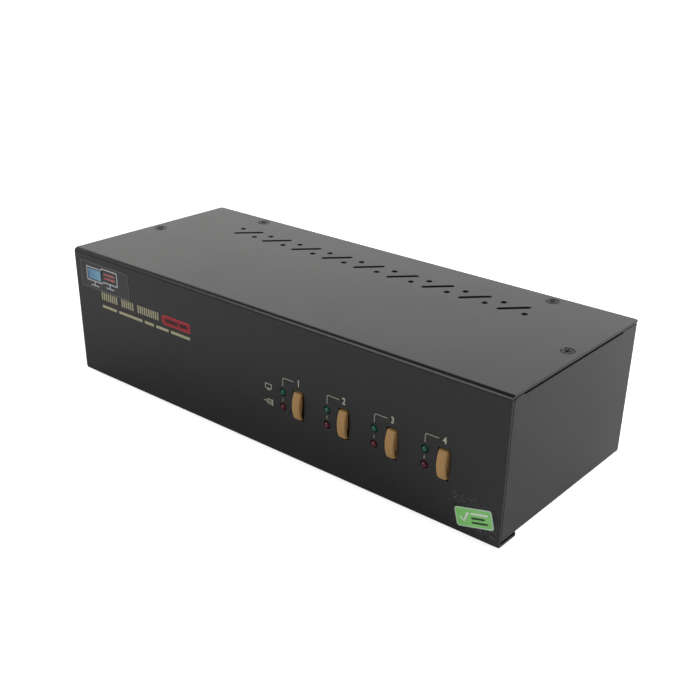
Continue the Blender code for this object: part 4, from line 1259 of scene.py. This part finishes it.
class KVM_OT_labels(Operator):
    """Sticks the emblem label and the green sticker on the front, under its clear film"""

    bl_idname = "kvm.labels"
    bl_label = "Front labels"

    def execute(self, context):
        settings = context.scene.kvm_front
        self.emblem(settings)
        self.sticker(settings)
        return {"FINISHED"}

    def emblem(self, settings):
        ground = label_paper("label_ground", tuple(settings.label), (0.022, 0.022, 0.024), 0.4)
        # A pale ring painted round the label as a highlight where its edges catch light.
        edge = ink("label_edge_highlight", (0.20, 0.20, 0.185))
        silver = finish_like("emblem_silver", (0.52, 0.54, 0.56), (0.7, 0.7, 0.7), 0.3, 0.3, 2, Metallic=0.6)
        blue = label_paper("emblem_blue", (0.08, 0.26, 0.46), (0.22, 0.45, 0.62), 0.3)
        red = label_paper("emblem_red", (0.45, 0.08, 0.08), (0.55, 0.14, 0.14), 0.3)
        left, right, low, high = LEFT + 4.5 * MM, LEFT + 43.6 * MM, LIP + 50.6 * MM, LIP + 64.8 * MM
        thick = 0.12 * MM
        plate = rounded(left, right, low, high, 0.4 * MM)
        line = 0.3 * MM
        inside = rounded(left + line, right - line, low + line, high - line, 0.25 * MM)
        recipes = [front_print(plate, 0, thick)]
        # The ring in paint 1 is the painted edge highlight.
        recipes.append(hollow("XZ", plate, inside, *around(FRONT - thick, 0.02 * MM), 1))
        fit(make("emblem_label", recipes, [ground, edge]), "case_paint")

        def raised(outline, paint=0):
            return prism("XZ", outline, FRONT - thick - 0.05 * MM, FRONT - thick + 0.02 * MM, paint)

        x, z = (left + right) / 2 - 2.0 * MM, (low + high) / 2
        line = 0.65 * MM
        size = (13 * MM, 10.4 * MM)
        parts = screen_symbol(x + 6.2 * MM, z + 0.5 * MM, *size, line, raised)
        parts += screen_symbol(x - 6.2 * MM, z - 0.5 * MM, *size, line, raised)
        fit(make("emblem_screens", parts, [silver]), "case_paint")
        low, high = z - 1.9 * MM, z + 3.5 * MM
        pane = rectangle(x - 11.3 * MM, x - 1.1 * MM, low, high)
        fit(make("emblem_pane_blue", [raised(pane)], [blue]), "case_paint")
        bars = [
            raised(rectangle(x + 1.8 * MM, x + 10.6 * MM, z + level, z + level + 1.0 * MM))
            for level in (0.2 * MM, 2.4 * MM)
        ]
        fit(make("emblem_bars_red", bars, [red]), "case_paint")

    def sticker(self, settings):
        centre = (LEFT + 259.2 * MM, LIP + 10.1 * MM)
        angle = 14.5
        film_centre = (LEFT + 259.6 * MM, LIP + 11.7 * MM)
        film_thick, thick = 0.05 * MM, 0.13 * MM
        film_shape = turned(self.card(film_centre, 22 * MM, 16.6 * MM, 0.6 * MM), film_centre, 4.0)
        fit(make("clear_film", [front_print(film_shape, 0, film_thick)], [clear_film()]), "case_paint")
        green = label_paper("sticker_green", tuple(settings.sticker), (0.26, 0.68, 0.20))
        border = label_paper("sticker_border", (0.62, 0.78, 0.55), (0.55, 0.72, 0.62))
        white = label_paper("sticker_white", (0.80, 0.84, 0.76), (0.80, 0.84, 0.78))
        dark = ink("sticker_ink", (0.010, 0.035, 0.012), 0.4)

        def layer(outline, step, paint):
            face = FRONT - film_thick - step * 0.03 * MM
            return prism("XZ", turned(outline, centre, angle), face - thick, FRONT - 0.5 * film_thick, paint)

        recipes = [
            layer(self.card(centre, 18.5 * MM, 8.9 * MM, 1.3 * MM), 0, 1),
            layer(self.card(centre, 17.5 * MM, 7.9 * MM, 0.9 * MM), 1, 0),
        ]
        x, z = centre
        tick = [(-7.0 * MM, 0.2 * MM), (-5.4 * MM, -1.7 * MM), (-2.6 * MM, 2.3 * MM)]
        recipes.append(layer(strip(moved(tick, x, z), 1.0 * MM), 2, 2))
        for row, end in enumerate((7.2 * MM, 5.4 * MM, 6.6 * MM)):
            level = z + (1.9 - row * 2.0) * MM
            bar = rounded(x - 1.4 * MM, x + end, *around(level, 0.45 * MM), 0.44 * MM)
            recipes.append(layer(bar, 2, 3 if row else 2))
        fit(make("green_sticker", recipes, [green, border, white, dark]), "case_paint")

    @staticmethod
    def card(centre, width, height, corner):
        return rounded(*centred(centre, width, height), corner)


# ---------------------------------------------------------------- sockets


def shell_outline(width, height, chamfer, corner, grow=0.0, top=False):
    """A socket's mouth about (0, 0): a rectangle with two corners cut off, the lower two unless top."""
    half, rise = width / 2 + grow, height / 2 + grow
    cut = chamfer + grow * 0.4
    points = [
        (-half + cut, -rise), (half - cut, -rise), (half, -rise + cut), (half, rise), (-half, rise),
        (-half, -rise + cut),
    ]
    if top:
        points = [(-u, -v) for u, v in points]
    outline = []
    for index, (u, v) in enumerate(points):
        here = Vector((u, v))
        before = (Vector(points[index - 1]) - here).normalized()
        after = (Vector(points[(index + 1) % len(points)]) - here).normalized()
        start, end = here + before * (corner + grow), here + after * (corner + grow)
        for step in range(5):
            t = step / 4
            spot = start * (1 - t) ** 2 + here * 2 * t * (1 - t) + end * t ** 2
            outline.append((spot.x, spot.y))
    return outline


def screen_socket():
    """Recipes for a screen socket about x 0 and z 0, with its shell, insulator, contacts and jack nuts.

    Paints 0 to 3 are plated steel, the insulator, contact metal and black housing.
    """
    inner = REAR_FACE - SHEET - FIT
    end = REAR_FACE + 4.2 * MM
    outer, mouth, rim, core = (
        shell_outline(24.6 * MM, 8.4 * MM, 2.2 * MM, 0.9 * MM, -inset * MM)
        for inset in (0.0, 0.5, 0.15, 1.35)
    )
    recipes = [hollow("XZ", outer, mouth, inner - 0.8 * MM, end - 0.25 * MM)]
    recipes.append(hollow("XZ", rim, mouth, end - 0.26 * MM, end))
    flange = rounded(-19.2 * MM, 19.2 * MM, -6.2 * MM, 6.2 * MM, 0.8 * MM)
    recipes.append(prism("XZ", flange, inner - 1.0 * MM, inner - 0.8 * MM))
    behind = (inner - 14 * MM, inner - 1.0 * MM)
    recipes.append(box((-13.1 * MM, 13.1 * MM), behind, (-6.2 * MM, 5.8 * MM), 3))
    recipes.append(prism("XZ", core, inner - 0.8 * MM, end - 0.6 * MM, 1))
    face = end - 0.6 * MM
    for column in range(8):
        for row in range(3):
            x, z = (column - 3.5) * 1.9 * MM - 2.6 * MM, (row - 1) * 1.9 * MM
            hole = rounded(*around(x, 0.5 * MM), *around(z, 0.42 * MM), 0.12 * MM, 2)
            recipes.append(prism("XZ", hole, face - 0.1 * MM, face + 0.015 * MM, 3))
            contact = rectangle(*around(x, 0.2 * MM), *around(z, 0.28 * MM))
            recipes.append(prism("XZ", contact, face - 0.1 * MM, face + 0.03 * MM, 2))
    x = 8.1 * MM
    for half, rise in ((2.3 * MM, 0.3 * MM), (0.3 * MM, 2.3 * MM)):
        bar = rectangle(*around(x, half), *around(0, rise))
        recipes.append(prism("XZ", bar, face - 0.1 * MM, face + 0.02 * MM, 3))
    for u in (-1.3 * MM, 1.3 * MM):
        for v in (-1.3 * MM, 1.3 * MM):
            hole, contact = circle((x + u, v), 0.45 * MM, 16), circle((x + u, v), 0.24 * MM, 12)
            recipes.append(prism("XZ", hole, face - 0.1 * MM, face + 0.02 * MM, 3))
            recipes.append(prism("XZ", contact, face - 0.1 * MM, face + 0.04 * MM, 2))
    return recipes


def jack_nut(x):
    """A recipe for a hexagonal jack nut with a threaded hole, beside a screen socket."""
    seat, end = REAR_FACE + 0.02 * MM, REAR_FACE + 4.8 * MM
    sides, corner, pitch = 24, 2.7 * MM, 0.5 * MM
    hexagon = []
    for u, v in circle((0, 0), corner, sides):
        turn = math.atan2(v, u)
        off_flat = math.radians(math.degrees(turn) % 60 - 30)
        reach = corner * math.cos(math.radians(30)) / math.cos(off_flat)
        hexagon.append((x + reach * math.cos(turn), reach * math.sin(turn)))
    bore, root = circle((x, 0), 1.25 * MM, sides), circle((x, 0), 1.42 * MM, sides)
    round_end = circle((x, 0), 2.25 * MM, sides)
    levels = [(bore, seat), (hexagon, seat), (hexagon, end - 0.35 * MM), (round_end, end), (bore, end)]
    depth = end
    while depth > end - 3.2 * MM:
        levels += [(root, depth - pitch / 2), (bore, depth - pitch)]
        depth -= pitch
    return loft([level_ring("XZ", outline, depth) for outline, depth in levels], closed=True)


class KVM_OT_screen_sockets(Operator):
    """Makes the ten screen sockets and their jack nuts"""

    bl_idname = "kvm.screen_sockets"
    bl_label = "Screen sockets"

    def execute(self, context):
        settings = context.scene.kvm_sockets
        paints = [
            plated_steel(), plastic("screen_insulator", tuple(settings.insulator), 0.5, 0.4, 5),
            gold_plate(), plastic("socket_housing", tuple(settings.housing)),
        ]
        socket = make("screen_socket", screen_socket(), paints)
        smooth(socket, 35)
        nuts = make("jack_nuts", [jack_nut(x) for x in (-15.8 * MM, 15.8 * MM)], paints[:1])
        smooth(nuts, 25)
        for level in LEVELS:
            for column in COLUMNS:
                node = f"dvi_{level}_{column}"
                low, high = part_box(node)
                spot = (low + high) / 2
                for model, name in ((socket, "screen_socket"), (nuts, "jack_nuts")):
                    copy = bpy.data.objects.new(f"{name}_{level}_{column}", model.data)
                    copy.location = (spot.x, 0, spot.z)
                    context.scene.collection.objects.link(copy)
                    if model is socket:
                        fit(copy, "socket_plastic", replaces=[node])
                    else:
                        fit(copy, "plated_steel")
        for model in (socket, nuts):
            bpy.data.objects.remove(model)
        return {"FINISHED"}


def usb_b_recipes(low, high):
    """Recipes for a square socket with its upper corners cut, a tongue in the middle and contacts."""
    x, z = (low.x + high.x) / 2, (low.z + high.z) / 2
    face = high.y
    half, rise = (high.x - low.x) / 2, (high.z - low.z) / 2
    mouth = moved(shell_outline(8.5 * MM, 7.8 * MM, 1.6 * MM, 0.4 * MM, 0, True), x, z)
    outer = [toward_edge(x, z, half, rise, u, v) for u, v in mouth]
    recipes = [hollow("XZ", outer, mouth, face - 9.5 * MM, face)]
    recipes.append(box((low.x, high.x), (low.y, face - 9.45 * MM), (low.z, high.z), 3))
    tongue = (face - 9.4 * MM, face - 0.8 * MM)
    recipes.append(box(around(x, 2.8 * MM), tongue, around(z, 1.6 * MM), 1))
    for u in (-1.25 * MM, 1.25 * MM):
        for side in (-1, 1):
            levels = sorted((z + side * 1.58 * MM, z + side * 1.72 * MM))
            recipes.append(box(around(x + u, 0.5 * MM), (face - 8 * MM, face - 1.2 * MM), levels, 2))
    return recipes


def toward_edge(x, z, half, rise, u, v):
    """The point of a rectangle's outline in the direction of (u, v) from its middle."""
    across, along = u - x, v - z
    reach = max(abs(across) / half, abs(along) / rise)
    return x + across / reach, z + along / reach


def usb_a_recipes(low, high):
    """Recipes for two flat sockets in one steel shell, each with a tongue, contacts and springs."""
    x, z = (low.x + high.x) / 2, (low.z + high.z) / 2
    face = high.y
    half = (high.x - low.x) / 2
    recipes = [box((low.x, high.x), (low.y, face - 9.4 * MM), (low.z, high.z), 0)]
    for level, (bottom, top) in ((z - 3.85 * MM, (low.z, z)), (z + 3.85 * MM, (z, high.z))):
        rise = (top - bottom) / 2
        centre = (top + bottom) / 2
        mouth = rounded(*around(x, 6.2 * MM), *around(level, 2.55 * MM), 0.3 * MM, 4)
        outer = [toward_edge(x, centre, half, rise, u, v) for u, v in mouth]
        recipes.append(hollow("XZ", outer, mouth, face - 9.5 * MM, face))
        tongue = (level + 0.35 * MM, level + 2.15 * MM)
        recipes.append(box(around(x, 5.5 * MM), (face - 9.45 * MM, face - 0.9 * MM), tongue, 3))
        thick = (tongue[0] - 0.12 * MM, tongue[0] + 0.05 * MM)
        for contact in (-3.5 * MM, -1.0 * MM, 1.0 * MM, 3.5 * MM):
            recipes.append(box(around(x + contact, 0.5 * MM), (face - 8.6 * MM, face - 1.6 * MM), thick, 2))
        spring = [(-1.2, 0.0), (-1.2, 0.3), (-2.6, 0.75), (-4.4, 0.2), (-4.4, 0.0)]
        spring = [(face + along * MM, level + (up - 2.6) * MM) for along, up in spring]
        for side in (-3.0 * MM, 3.0 * MM):
            recipes.append(prism("YZ", spring, *around(x + side, 1.0 * MM), 0))
    return recipes


class KVM_OT_usb_sockets(Operator):
    """Makes the square computer sockets and the stacked flat sockets"""

    bl_idname = "kvm.usb_sockets"
    bl_label = "Data sockets"

    def execute(self, context):
        settings = context.scene.kvm_sockets
        paints = [
            plated_steel(), plastic("screen_insulator", tuple(settings.insulator)),
            gold_plate(), plastic("socket_housing", tuple(settings.housing)),
        ]
        nodes = [(f"usb_b_{number}", usb_b_recipes) for number in CHANNELS]
        nodes += [("usb_a_keys", usb_a_recipes), ("usb_a_hub", usb_a_recipes)]
        for node, recipes in nodes:
            socket = make(f"{node}_socket", recipes(*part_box(node)), paints)
            soften(socket, 0.12 * MM, 2, 50)
            fit(socket, "plated_steel", replaces=[node])
        return {"FINISHED"}


def barrel(x, z, inner, end, outer, bore, depth, paint):
    """A recipe for a socket's barrel with a rounded mouth, open to a depth."""
    edge = 0.2 * MM
    profile = [
        (outer, inner), (outer, end - edge), (outer - edge, end), (bore + edge, end), (bore, end - edge),
        (bore, end - depth), (0, end - depth),
    ]
    return lathe("XZ", (x, z), [(0, inner)] + profile, 40, paint)


class KVM_OT_jacks(Operator):
    """Makes the pairs of audio jacks and the power inlet"""

    bl_idname = "kvm.jacks"
    bl_label = "Audio jacks and power inlet"

    def execute(self, context):
        settings = context.scene.kvm_sockets
        black = plastic("socket_housing", tuple(settings.housing))
        paints = [
            black, plastic("speaker_ring", tuple(settings.speaker), 0.4),
            plastic("microphone_ring", tuple(settings.microphone), 0.4), plated_steel(),
        ]
        inner = REAR_FACE - SHEET - FIT
        for number in COLUMNS:
            low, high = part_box(f"audio_{number}")
            x = (low.x + high.x) / 2
            centre = (low.z + high.z) / 2
            housing = rounded(low.x, high.x, low.z, high.z, 0.3 * MM, 3)
            recipes = [prism("XZ", housing, low.y, inner)]
            for paint, z in ((2, centre - 5.25 * MM), (1, centre + 5.25 * MM)):
                recipes.append(barrel(x, z, inner, high.y, 3.1 * MM, 1.8 * MM, 9 * MM, paint))
                spring = (x + 1.35 * MM, x + 1.75 * MM)
                recipes.append(box(spring, (high.y - 6 * MM, high.y - 1.6 * MM), around(z, 0.5 * MM), 3))
            jacks = make(f"audio_jacks_{number}", recipes, paints)
            smooth(jacks, 35)
            fit(jacks, "socket_plastic", replaces=[f"audio_{number}"])
        low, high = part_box("power_jack")
        x, z = (low.x + high.x) / 2, (low.z + high.z) / 2
        housing = rounded(low.x, high.x, low.z, high.z, 0.5 * MM, 3)
        pin = [
            (0, high.y - 9.5 * MM), (1.0 * MM, high.y - 9.5 * MM), (1.0 * MM, high.y - 1.3 * MM),
            (0.7 * MM, high.y - 0.9 * MM), (0, high.y - 0.8 * MM),
        ]
        recipes = [
            prism("XZ", housing, low.y, inner), barrel(x, z, inner, high.y, 4.2 * MM, 3.2 * MM, 9 * MM, 0),
            lathe("XZ", (x, z), pin, 24, 3),
        ]
        inlet = make("power_inlet", recipes, paints)
        smooth(inlet, 35)
        fit(inlet, "socket_plastic", replaces=["power_jack"])
        return {"FINISHED"}


class KVM_OT_rear_print(Operator):
    """Prints numbers and plain symbols beside the rear sockets"""

    bl_idname = "kvm.rear_print"
    bl_label = "Rear printing"

    def execute(self, context):
        pale = ink("rear_ink", tuple(context.scene.kvm_sockets.rear_ink))
        line = 0.3 * MM
        marks = []
        between = (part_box("dvi_lower_1")[1].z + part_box("dvi_upper_1")[0].z) / 2
        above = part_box("dvi_upper_1")[1].z + 4.2 * MM
        for column in COLUMNS:
            x = middle(f"dvi_upper_{column}").x
            if column < 5:
                marks.append(letter(str(column), 3.6 * MM, (x + 4 * MM, above), 1))
                marks.append(letter(str(column), 3.6 * MM, (x + 4 * MM, between), 1))
            else:
                marks += screen_symbol(x + 4 * MM, above, 5 * MM, 4 * MM, line, rear_print)
                marks += screen_symbol(x + 4 * MM, between, 5 * MM, 4 * MM, line, rear_print)
            marks += screen_symbol(x - 3 * MM, above, 5 * MM, 4 * MM, line, rear_print)
            marks += screen_symbol(x - 3 * MM, between, 5 * MM, 4 * MM, line, rear_print)
        for column in CHANNELS:
            low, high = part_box(f"usb_b_{column}")
            x, z = (low.x + high.x) / 2, high.z + 3.2 * MM
            marks += hub_symbol(x, z, 6 * MM, 3 * MM, line, rear_print)
        fit(make("rear_marks", marks, [pale]), "case_paint")
        return {"FINISHED"}


# ---------------------------------------------------------------- boards


def chip(x, y, level, side, paint=0, legs=1):
    """Recipes for a flat chip with a row of bent legs on each side."""
    half, tall = side / 2, 1.4 * MM
    slices = ((0.1 * MM, 0.1 * MM), (0, 0.75 * MM), (0.15 * MM, tall))
    rings = [
        level_ring("XY", rectangle(*centred((x, y), side - 2 * inset, side - 2 * inset)), level + depth)
        for inset, depth in slices
    ]
    dot = circle((x - half + 1.2 * MM, y + half - 1.2 * MM), 0.4 * MM, 16)
    recipes = [loft(rings, paint), prism("XY", dot, level + tall - 0.05 * MM, level + tall + 0.02 * MM, legs)]
    wide, pitch = 0.16 * MM, 0.8 * MM
    count = int(side / pitch) - 1
    for index in range(count):
        step = (index - (count - 1) / 2) * pitch
        for way in (-1, 1):
            reach = sorted((way * (half - 0.05 * MM), way * (half + 0.9 * MM)))
            foot = sorted((way * (half + 0.4 * MM), way * (half + 1.3 * MM)))
            for (near, far), low, high in ((reach, 0.55 * MM, 0.7 * MM), (foot, 0.0, 0.14 * MM)):
                levels = (level + low, level + high)
                recipes.append(box((x + near, x + far), around(y + step, wide), levels, legs))
                recipes.append(box(around(x + step, wide), (y + near, y + far), levels, legs))
    return recipes


def capacitor(x, y, level, radius, height, sleeve=2, can=1):
    """Recipes for an electrolytic capacitor: a sleeve with a rolled shoulder, and a bare vented top."""
    top = level + height
    profile = [
        (0, level), (radius, level), (radius, level + 0.9 * MM), (radius - 0.25 * MM, level + 1.2 * MM),
        (radius, level + 1.5 * MM), (radius, top - 0.5 * MM), (radius - 0.4 * MM, top), (0, top),
    ]
    cap = [
        (0, top - 0.05 * MM), (radius - 0.6 * MM, top - 0.05 * MM), (radius - 0.6 * MM, top + 0.05 * MM),
        (radius - 1.0 * MM, top + 0.02 * MM), (0, top + 0.02 * MM),
    ]
    return [lathe("XY", (x, y), profile, 28, sleeve), lathe("XY", (x, y), cap, 28, can)]


def heat_sink(x, y, level, side, paint=3):
    """Recipes for a heat sink: a base with a row of fins."""
    half = side / 2
    recipes = [box(around(x, half), around(y, half), (level, level + 1.2 * MM), paint)]
    fins, thick = 8, 0.8 * MM
    pitch = (side - thick) / (fins - 1)
    up = (level + 1.1 * MM, level + 7 * MM)
    for index in range(fins):
        start = x - half + index * pitch
        recipes.append(box((start, start + thick), around(y, half), up, paint))
    return recipes


def header(x, y, level, pins, along, housing=0, pin=1):
    """Recipes for a pin header in a plastic shroud, along X or Y."""
    length, wide = pins * 2 * MM + 1.2 * MM, 5 * MM
    half_x, half_y = (length / 2, wide / 2) if along == "X" else (wide / 2, length / 2)
    outer = rectangle(*around(x, half_x), *around(y, half_y))
    wall = 0.7 * MM
    inner = rectangle(*around(x, half_x - wall), *around(y, half_y - wall))
    recipes = [hollow("XY", outer, inner, level + 1 * MM, level + 6 * MM, housing)]
    recipes.append(prism("XY", outer, level, level + 1.05 * MM, housing))
    for index in range(pins):
        step = (index - (pins - 1) / 2) * 2 * MM
        u, v = (x + step, y) if along == "X" else (x, y + step)
        recipes.append(box(around(u, 0.25 * MM), around(v, 0.25 * MM), (level, level + 5 * MM), pin))
    return recipes


class KVM_OT_boards(Operator):
    """Finishes the circuit boards and fits their chips, capacitors, heat sinks, headers and nuts"""

    bl_idname = "kvm.boards"
    bl_label = "Circuit boards"

    def execute(self, context):
        settings = context.scene.kvm_boards
        mask = circuit_board(settings)
        for node in ("front_board", "main_board", "video_board"):
            repaint(node, mask)
            round_packed(node, 0.08 * MM)
        paints = [
            plastic("chip_epoxy", tuple(settings.chip), 0.55, 0.2, 8), plated_steel(),
            plastic("capacitor_sleeve", (0.015, 0.02, 0.05), 0.35),
            finish_like("anodised_sink", tuple(settings.sink), (0.4, 0.4, 0.4), 0.4, 0.4, 6, Metallic=0.7),
        ]
        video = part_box("video_board")[1].z + 0.02 * MM
        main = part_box("main_board")[1].z + 0.02 * MM
        parts = []
        for column in COLUMNS:
            x = middle(f"dvi_upper_{column}").x
            parts += chip(x, 8 * MM, video, 14 * MM)
            if column % 2:
                parts += heat_sink(x, 8 * MM, video + 1.43 * MM, 13 * MM)
            parts += capacitor(x - 11 * MM, -6 * MM, video, 3.2 * MM, 8 * MM)
            parts += capacitor(x - 11 * MM, 24 * MM, video, 2.5 * MM, 6 * MM)
        parts += header(-60 * MM, -30 * MM, video, 12, "X")
        fit(make("video_board_parts", parts, paints), "circuit_board")
        parts = []
        for column in COLUMNS:
            x = middle(f"dvi_lower_{column}").x
            parts += chip(x - 3 * MM, 10 * MM, main, 12 * MM)
            parts += capacitor(x + 9 * MM, 22 * MM, main, 2.5 * MM, 6 * MM)
        parts += chip(0, -22 * MM, main, 18 * MM)
        for step in range(3):
            parts += capacitor(-112 * MM + step * 11 * MM, 2 * MM, main, 4.0 * MM, 11 * MM)
        parts += header(-60 * MM, -30 * MM, main, 12, "X")
        fit(make("main_board_parts", parts, paints), "circuit_board")
        self.spacers()
        return {"FINISHED"}

    @staticmethod
    def spacers():
        """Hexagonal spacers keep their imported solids; a nut and a washer hold each upper stud."""
        brass = finish_like("brass_spacer", (0.62, 0.45, 0.20), (0.8, 0.65, 0.35), 0.32, 0.3, 3, Metallic=1.0)
        steel = plated_steel()
        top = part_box("video_board")[1].z
        for number in SPACERS:
            node = f"board_spacer_{number}"
            repaint(node, brass)
            round_packed(node, 0.12 * MM)
            spot = middle(node)
            centre = (spot.x, spot.y)
            washer = circle(centre, 3.0 * MM, 36)
            inner = circle(centre, 1.35 * MM, 36)
            recipes = [hollow("XY", washer, inner, top + 0.02 * MM, top + 0.5 * MM)]
            nut = circle(centre, 2.6 * MM, 6)
            nut = [spot for pair in zip(nut, nut[1:] + nut[:1]) for spot in split_side(*pair, 6)]
            recipes.append(hollow("XY", nut, inner, top + 0.5 * MM, top + 2.4 * MM))
            nuts = make(f"board_nut_{number}", recipes, [steel])
            soften(nuts, 0.1 * MM)
            fit(nuts, "plated_steel")


def split_side(start, end, steps):
    """Points from start towards end, end left out."""
    return [
        (start[0] + (end[0] - start[0]) * step / steps, start[1] + (end[1] - start[1]) * step / steps)
        for step in range(steps)
    ]


# ---------------------------------------------------------------- stage


def softbox(name, spot, aim, size, power, colour=(1.0, 1.0, 1.0)):
    """A square area light that looks at a point."""
    data = bpy.data.lights.new(name, "AREA")
    data.shape = "RECTANGLE"
    data.size, data.size_y = size
    data.energy = power
    data.color = colour
    lamp = bpy.data.objects.new(name, data)
    lamp.location = spot
    lamp.rotation_mode = "QUATERNION"
    lamp.rotation_quaternion = (Vector(aim) - Vector(spot)).to_track_quat("-Z", "Y")
    bpy.context.scene.collection.objects.link(lamp)
    return lamp


def studio_world():
    """White to the camera, and otherwise a soft surround that is brighter behind than in front."""
    world = bpy.data.worlds.new("studio")
    world.use_nodes = True
    graph = Graph(world.node_tree)
    background = world.node_tree.nodes["Background"]
    background.inputs["Color"].default_value = (0.985, 1, 0.97, 1)
    toward = graph.add("TexCoord").outputs["Generated"]
    parts = graph.add("SeparateXYZ", {0: toward})
    facing = graph.add("VectorMath", {0: toward, 1: (0.0, 1.0, 0.0)}, operation="DOT_PRODUCT")
    behind = graph.spread(facing.outputs["Value"], -0.7, 0.0, 0.28, 1.1)
    overhead = graph.spread(parts.outputs["Z"], 0.5, 0.72, 1.0, 0.03)
    right = graph.spread(parts.outputs["X"], 0.05, 0.5, 1.0, 0.15)
    dimmed = graph.math("MULTIPLY", graph.math("MULTIPLY", behind, overhead), right)
    world.node_tree.links.new(dimmed, background.inputs["Strength"])
    white = graph.add("Background", {"Strength": 1.0, "Color": (1, 1, 1, 1)})
    seen = graph.add("LightPath").outputs["Is Camera Ray"]
    mixed = graph.add("MixShader", {0: seen, 1: background.outputs[0], 2: white.outputs[0]})
    output = next(node for node in world.node_tree.nodes if node.type == "OUTPUT_WORLD")
    world.node_tree.links.new(mixed.outputs[0], output.inputs["Surface"])
    return world


def floor_paint(colour):
    """A matte floor that is lifted to white where it's seen directly."""
    made, graph, principled = shader("studio_floor", Roughness=0.9, Specular_IOR_Level=0.0)
    place_at = graph.add("TexCoord").outputs["Object"]
    mottle = graph.spread(graph.noise(place_at, 30.0, 3.0), 0.3, 0.7)
    dim = tuple(part * 0.985 for part in colour)
    base = graph.blend(mottle, (*dim, 1), (*colour, 1))
    link(graph, principled, Base_Color=base)
    glow = graph.add("Emission", {"Color": (1, 1, 1, 1), "Strength": 0.8})
    both = graph.add("AddShader", {0: principled.outputs[0], 1: glow.outputs[0]})
    seen = graph.add("LightPath").outputs["Is Camera Ray"]
    mixed = graph.add("MixShader", {0: seen, 1: principled.outputs[0], 2: both.outputs[0]})
    output = next(node for node in made.node_tree.nodes if node.type == "OUTPUT_MATERIAL")
    made.node_tree.links.new(mixed.outputs[0], output.inputs["Surface"])
    return made


class KVM_OT_stage(Operator):
    """Sets up the floor, the lights, the surround and the camera"""

    bl_idname = "kvm.stage"
    bl_label = "Stage"

    def execute(self, context):
        settings = context.scene.kvm_stage
        scene = context.scene
        scene.world = studio_world()
        scene.view_settings.view_transform = "Standard"
        outline = circle((0, 0), 3.0, 64)
        floor = make("floor", [prism("XY", outline, -20 * MM, 0.0)], [floor_paint(tuple(settings.floor))])
        softbox("key_light", (0.3, 1.2, 1.4), (0.1, 0, 0.0), (1.4, 1.0), settings.key)
        softbox("side_light", (1.2, 0.5, 0.8), (0.15, 0, 0.0), (0.8, 0.6), settings.side)
        softbox("bend_light", (-0.5, -0.8, 0.75), (0.05, -0.05, 0.07), (0.7, 0.5), settings.bend)
        softbox("spark_light", (0.35, -0.95, 0.55), (0.08, -0.05, 0.03), (0.08, 0.08), settings.spark)
        self.camera(scene, settings)
        return {"FINISHED"}

    @staticmethod
    def camera(scene, settings):
        forward = Vector((-0.56080, 0.69374, -0.45190))
        right = Vector((0.77139, 0.63608, 0.01920))
        up = right.cross(forward)
        data = bpy.data.cameras.new("camera")
        data.lens = settings.lens / MM
        data.sensor_width = 36
        data.shift_x = -0.0127
        data.shift_y = 0.0886
        data.clip_start, data.clip_end = 0.01, 20
        camera = bpy.data.objects.new("camera", data)
        turn = Matrix((right, up, -forward)).transposed()
        camera.matrix_world = Matrix.Translation((0.30883, -0.36111, 0.24103)) @ turn.to_4x4()
        scene.collection.objects.link(camera)
        scene.camera = camera


# ---------------------------------------------------------------- add-on


SETTINGS = {
    "kvm_case": KVM_PG_case, "kvm_front": KVM_PG_front, "kvm_buttons": KVM_PG_buttons,
    "kvm_leds": KVM_PG_leds, "kvm_sockets": KVM_PG_sockets, "kvm_boards": KVM_PG_boards,
    "kvm_stage": KVM_PG_stage,
}
OPERATORS = (
    KVM_OT_stage, KVM_OT_cover, KVM_OT_chassis, KVM_OT_screws, KVM_OT_feet, KVM_OT_buttons, KVM_OT_switches,
    KVM_OT_leds, KVM_OT_front_print, KVM_OT_labels, KVM_OT_screen_sockets, KVM_OT_usb_sockets, KVM_OT_jacks,
    KVM_OT_rear_print, KVM_OT_boards,
)


class KVM_PT_panel(Panel):
    """Lists the steps that build the KVM switch's looks"""

    bl_idname = "KVM_PT_panel"
    bl_label = "KVM switch"
    bl_space_type = "VIEW_3D"
    bl_region_type = "UI"
    bl_category = "KVM switch"

    def draw(self, context):
        for operator in OPERATORS:
            self.layout.operator(operator.bl_idname)
        for name in SETTINGS:
            group = getattr(context.scene, name)
            section = self.layout.box()
            for setting in group.bl_rna.properties:
                if setting.identifier not in ("rna_type", "name"):
                    section.prop(group, setting.identifier)


def register():
    for kind in (*SETTINGS.values(), *OPERATORS, KVM_PT_panel):
        bpy.utils.register_class(kind)
    for name, kind in SETTINGS.items():
        setattr(bpy.types.Scene, name, PointerProperty(type=kind))


def unregister():
    for name in SETTINGS:
        delattr(bpy.types.Scene, name)
    for kind in (KVM_PT_panel, *reversed(OPERATORS), *reversed(list(SETTINGS.values()))):
        bpy.utils.unregister_class(kind)


def main():
    register()
    for operator in OPERATORS:
        getattr(bpy.ops.kvm, operator.bl_idname.split(".")[1])()
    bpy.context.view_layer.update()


if __name__ == "__main__":
    main()
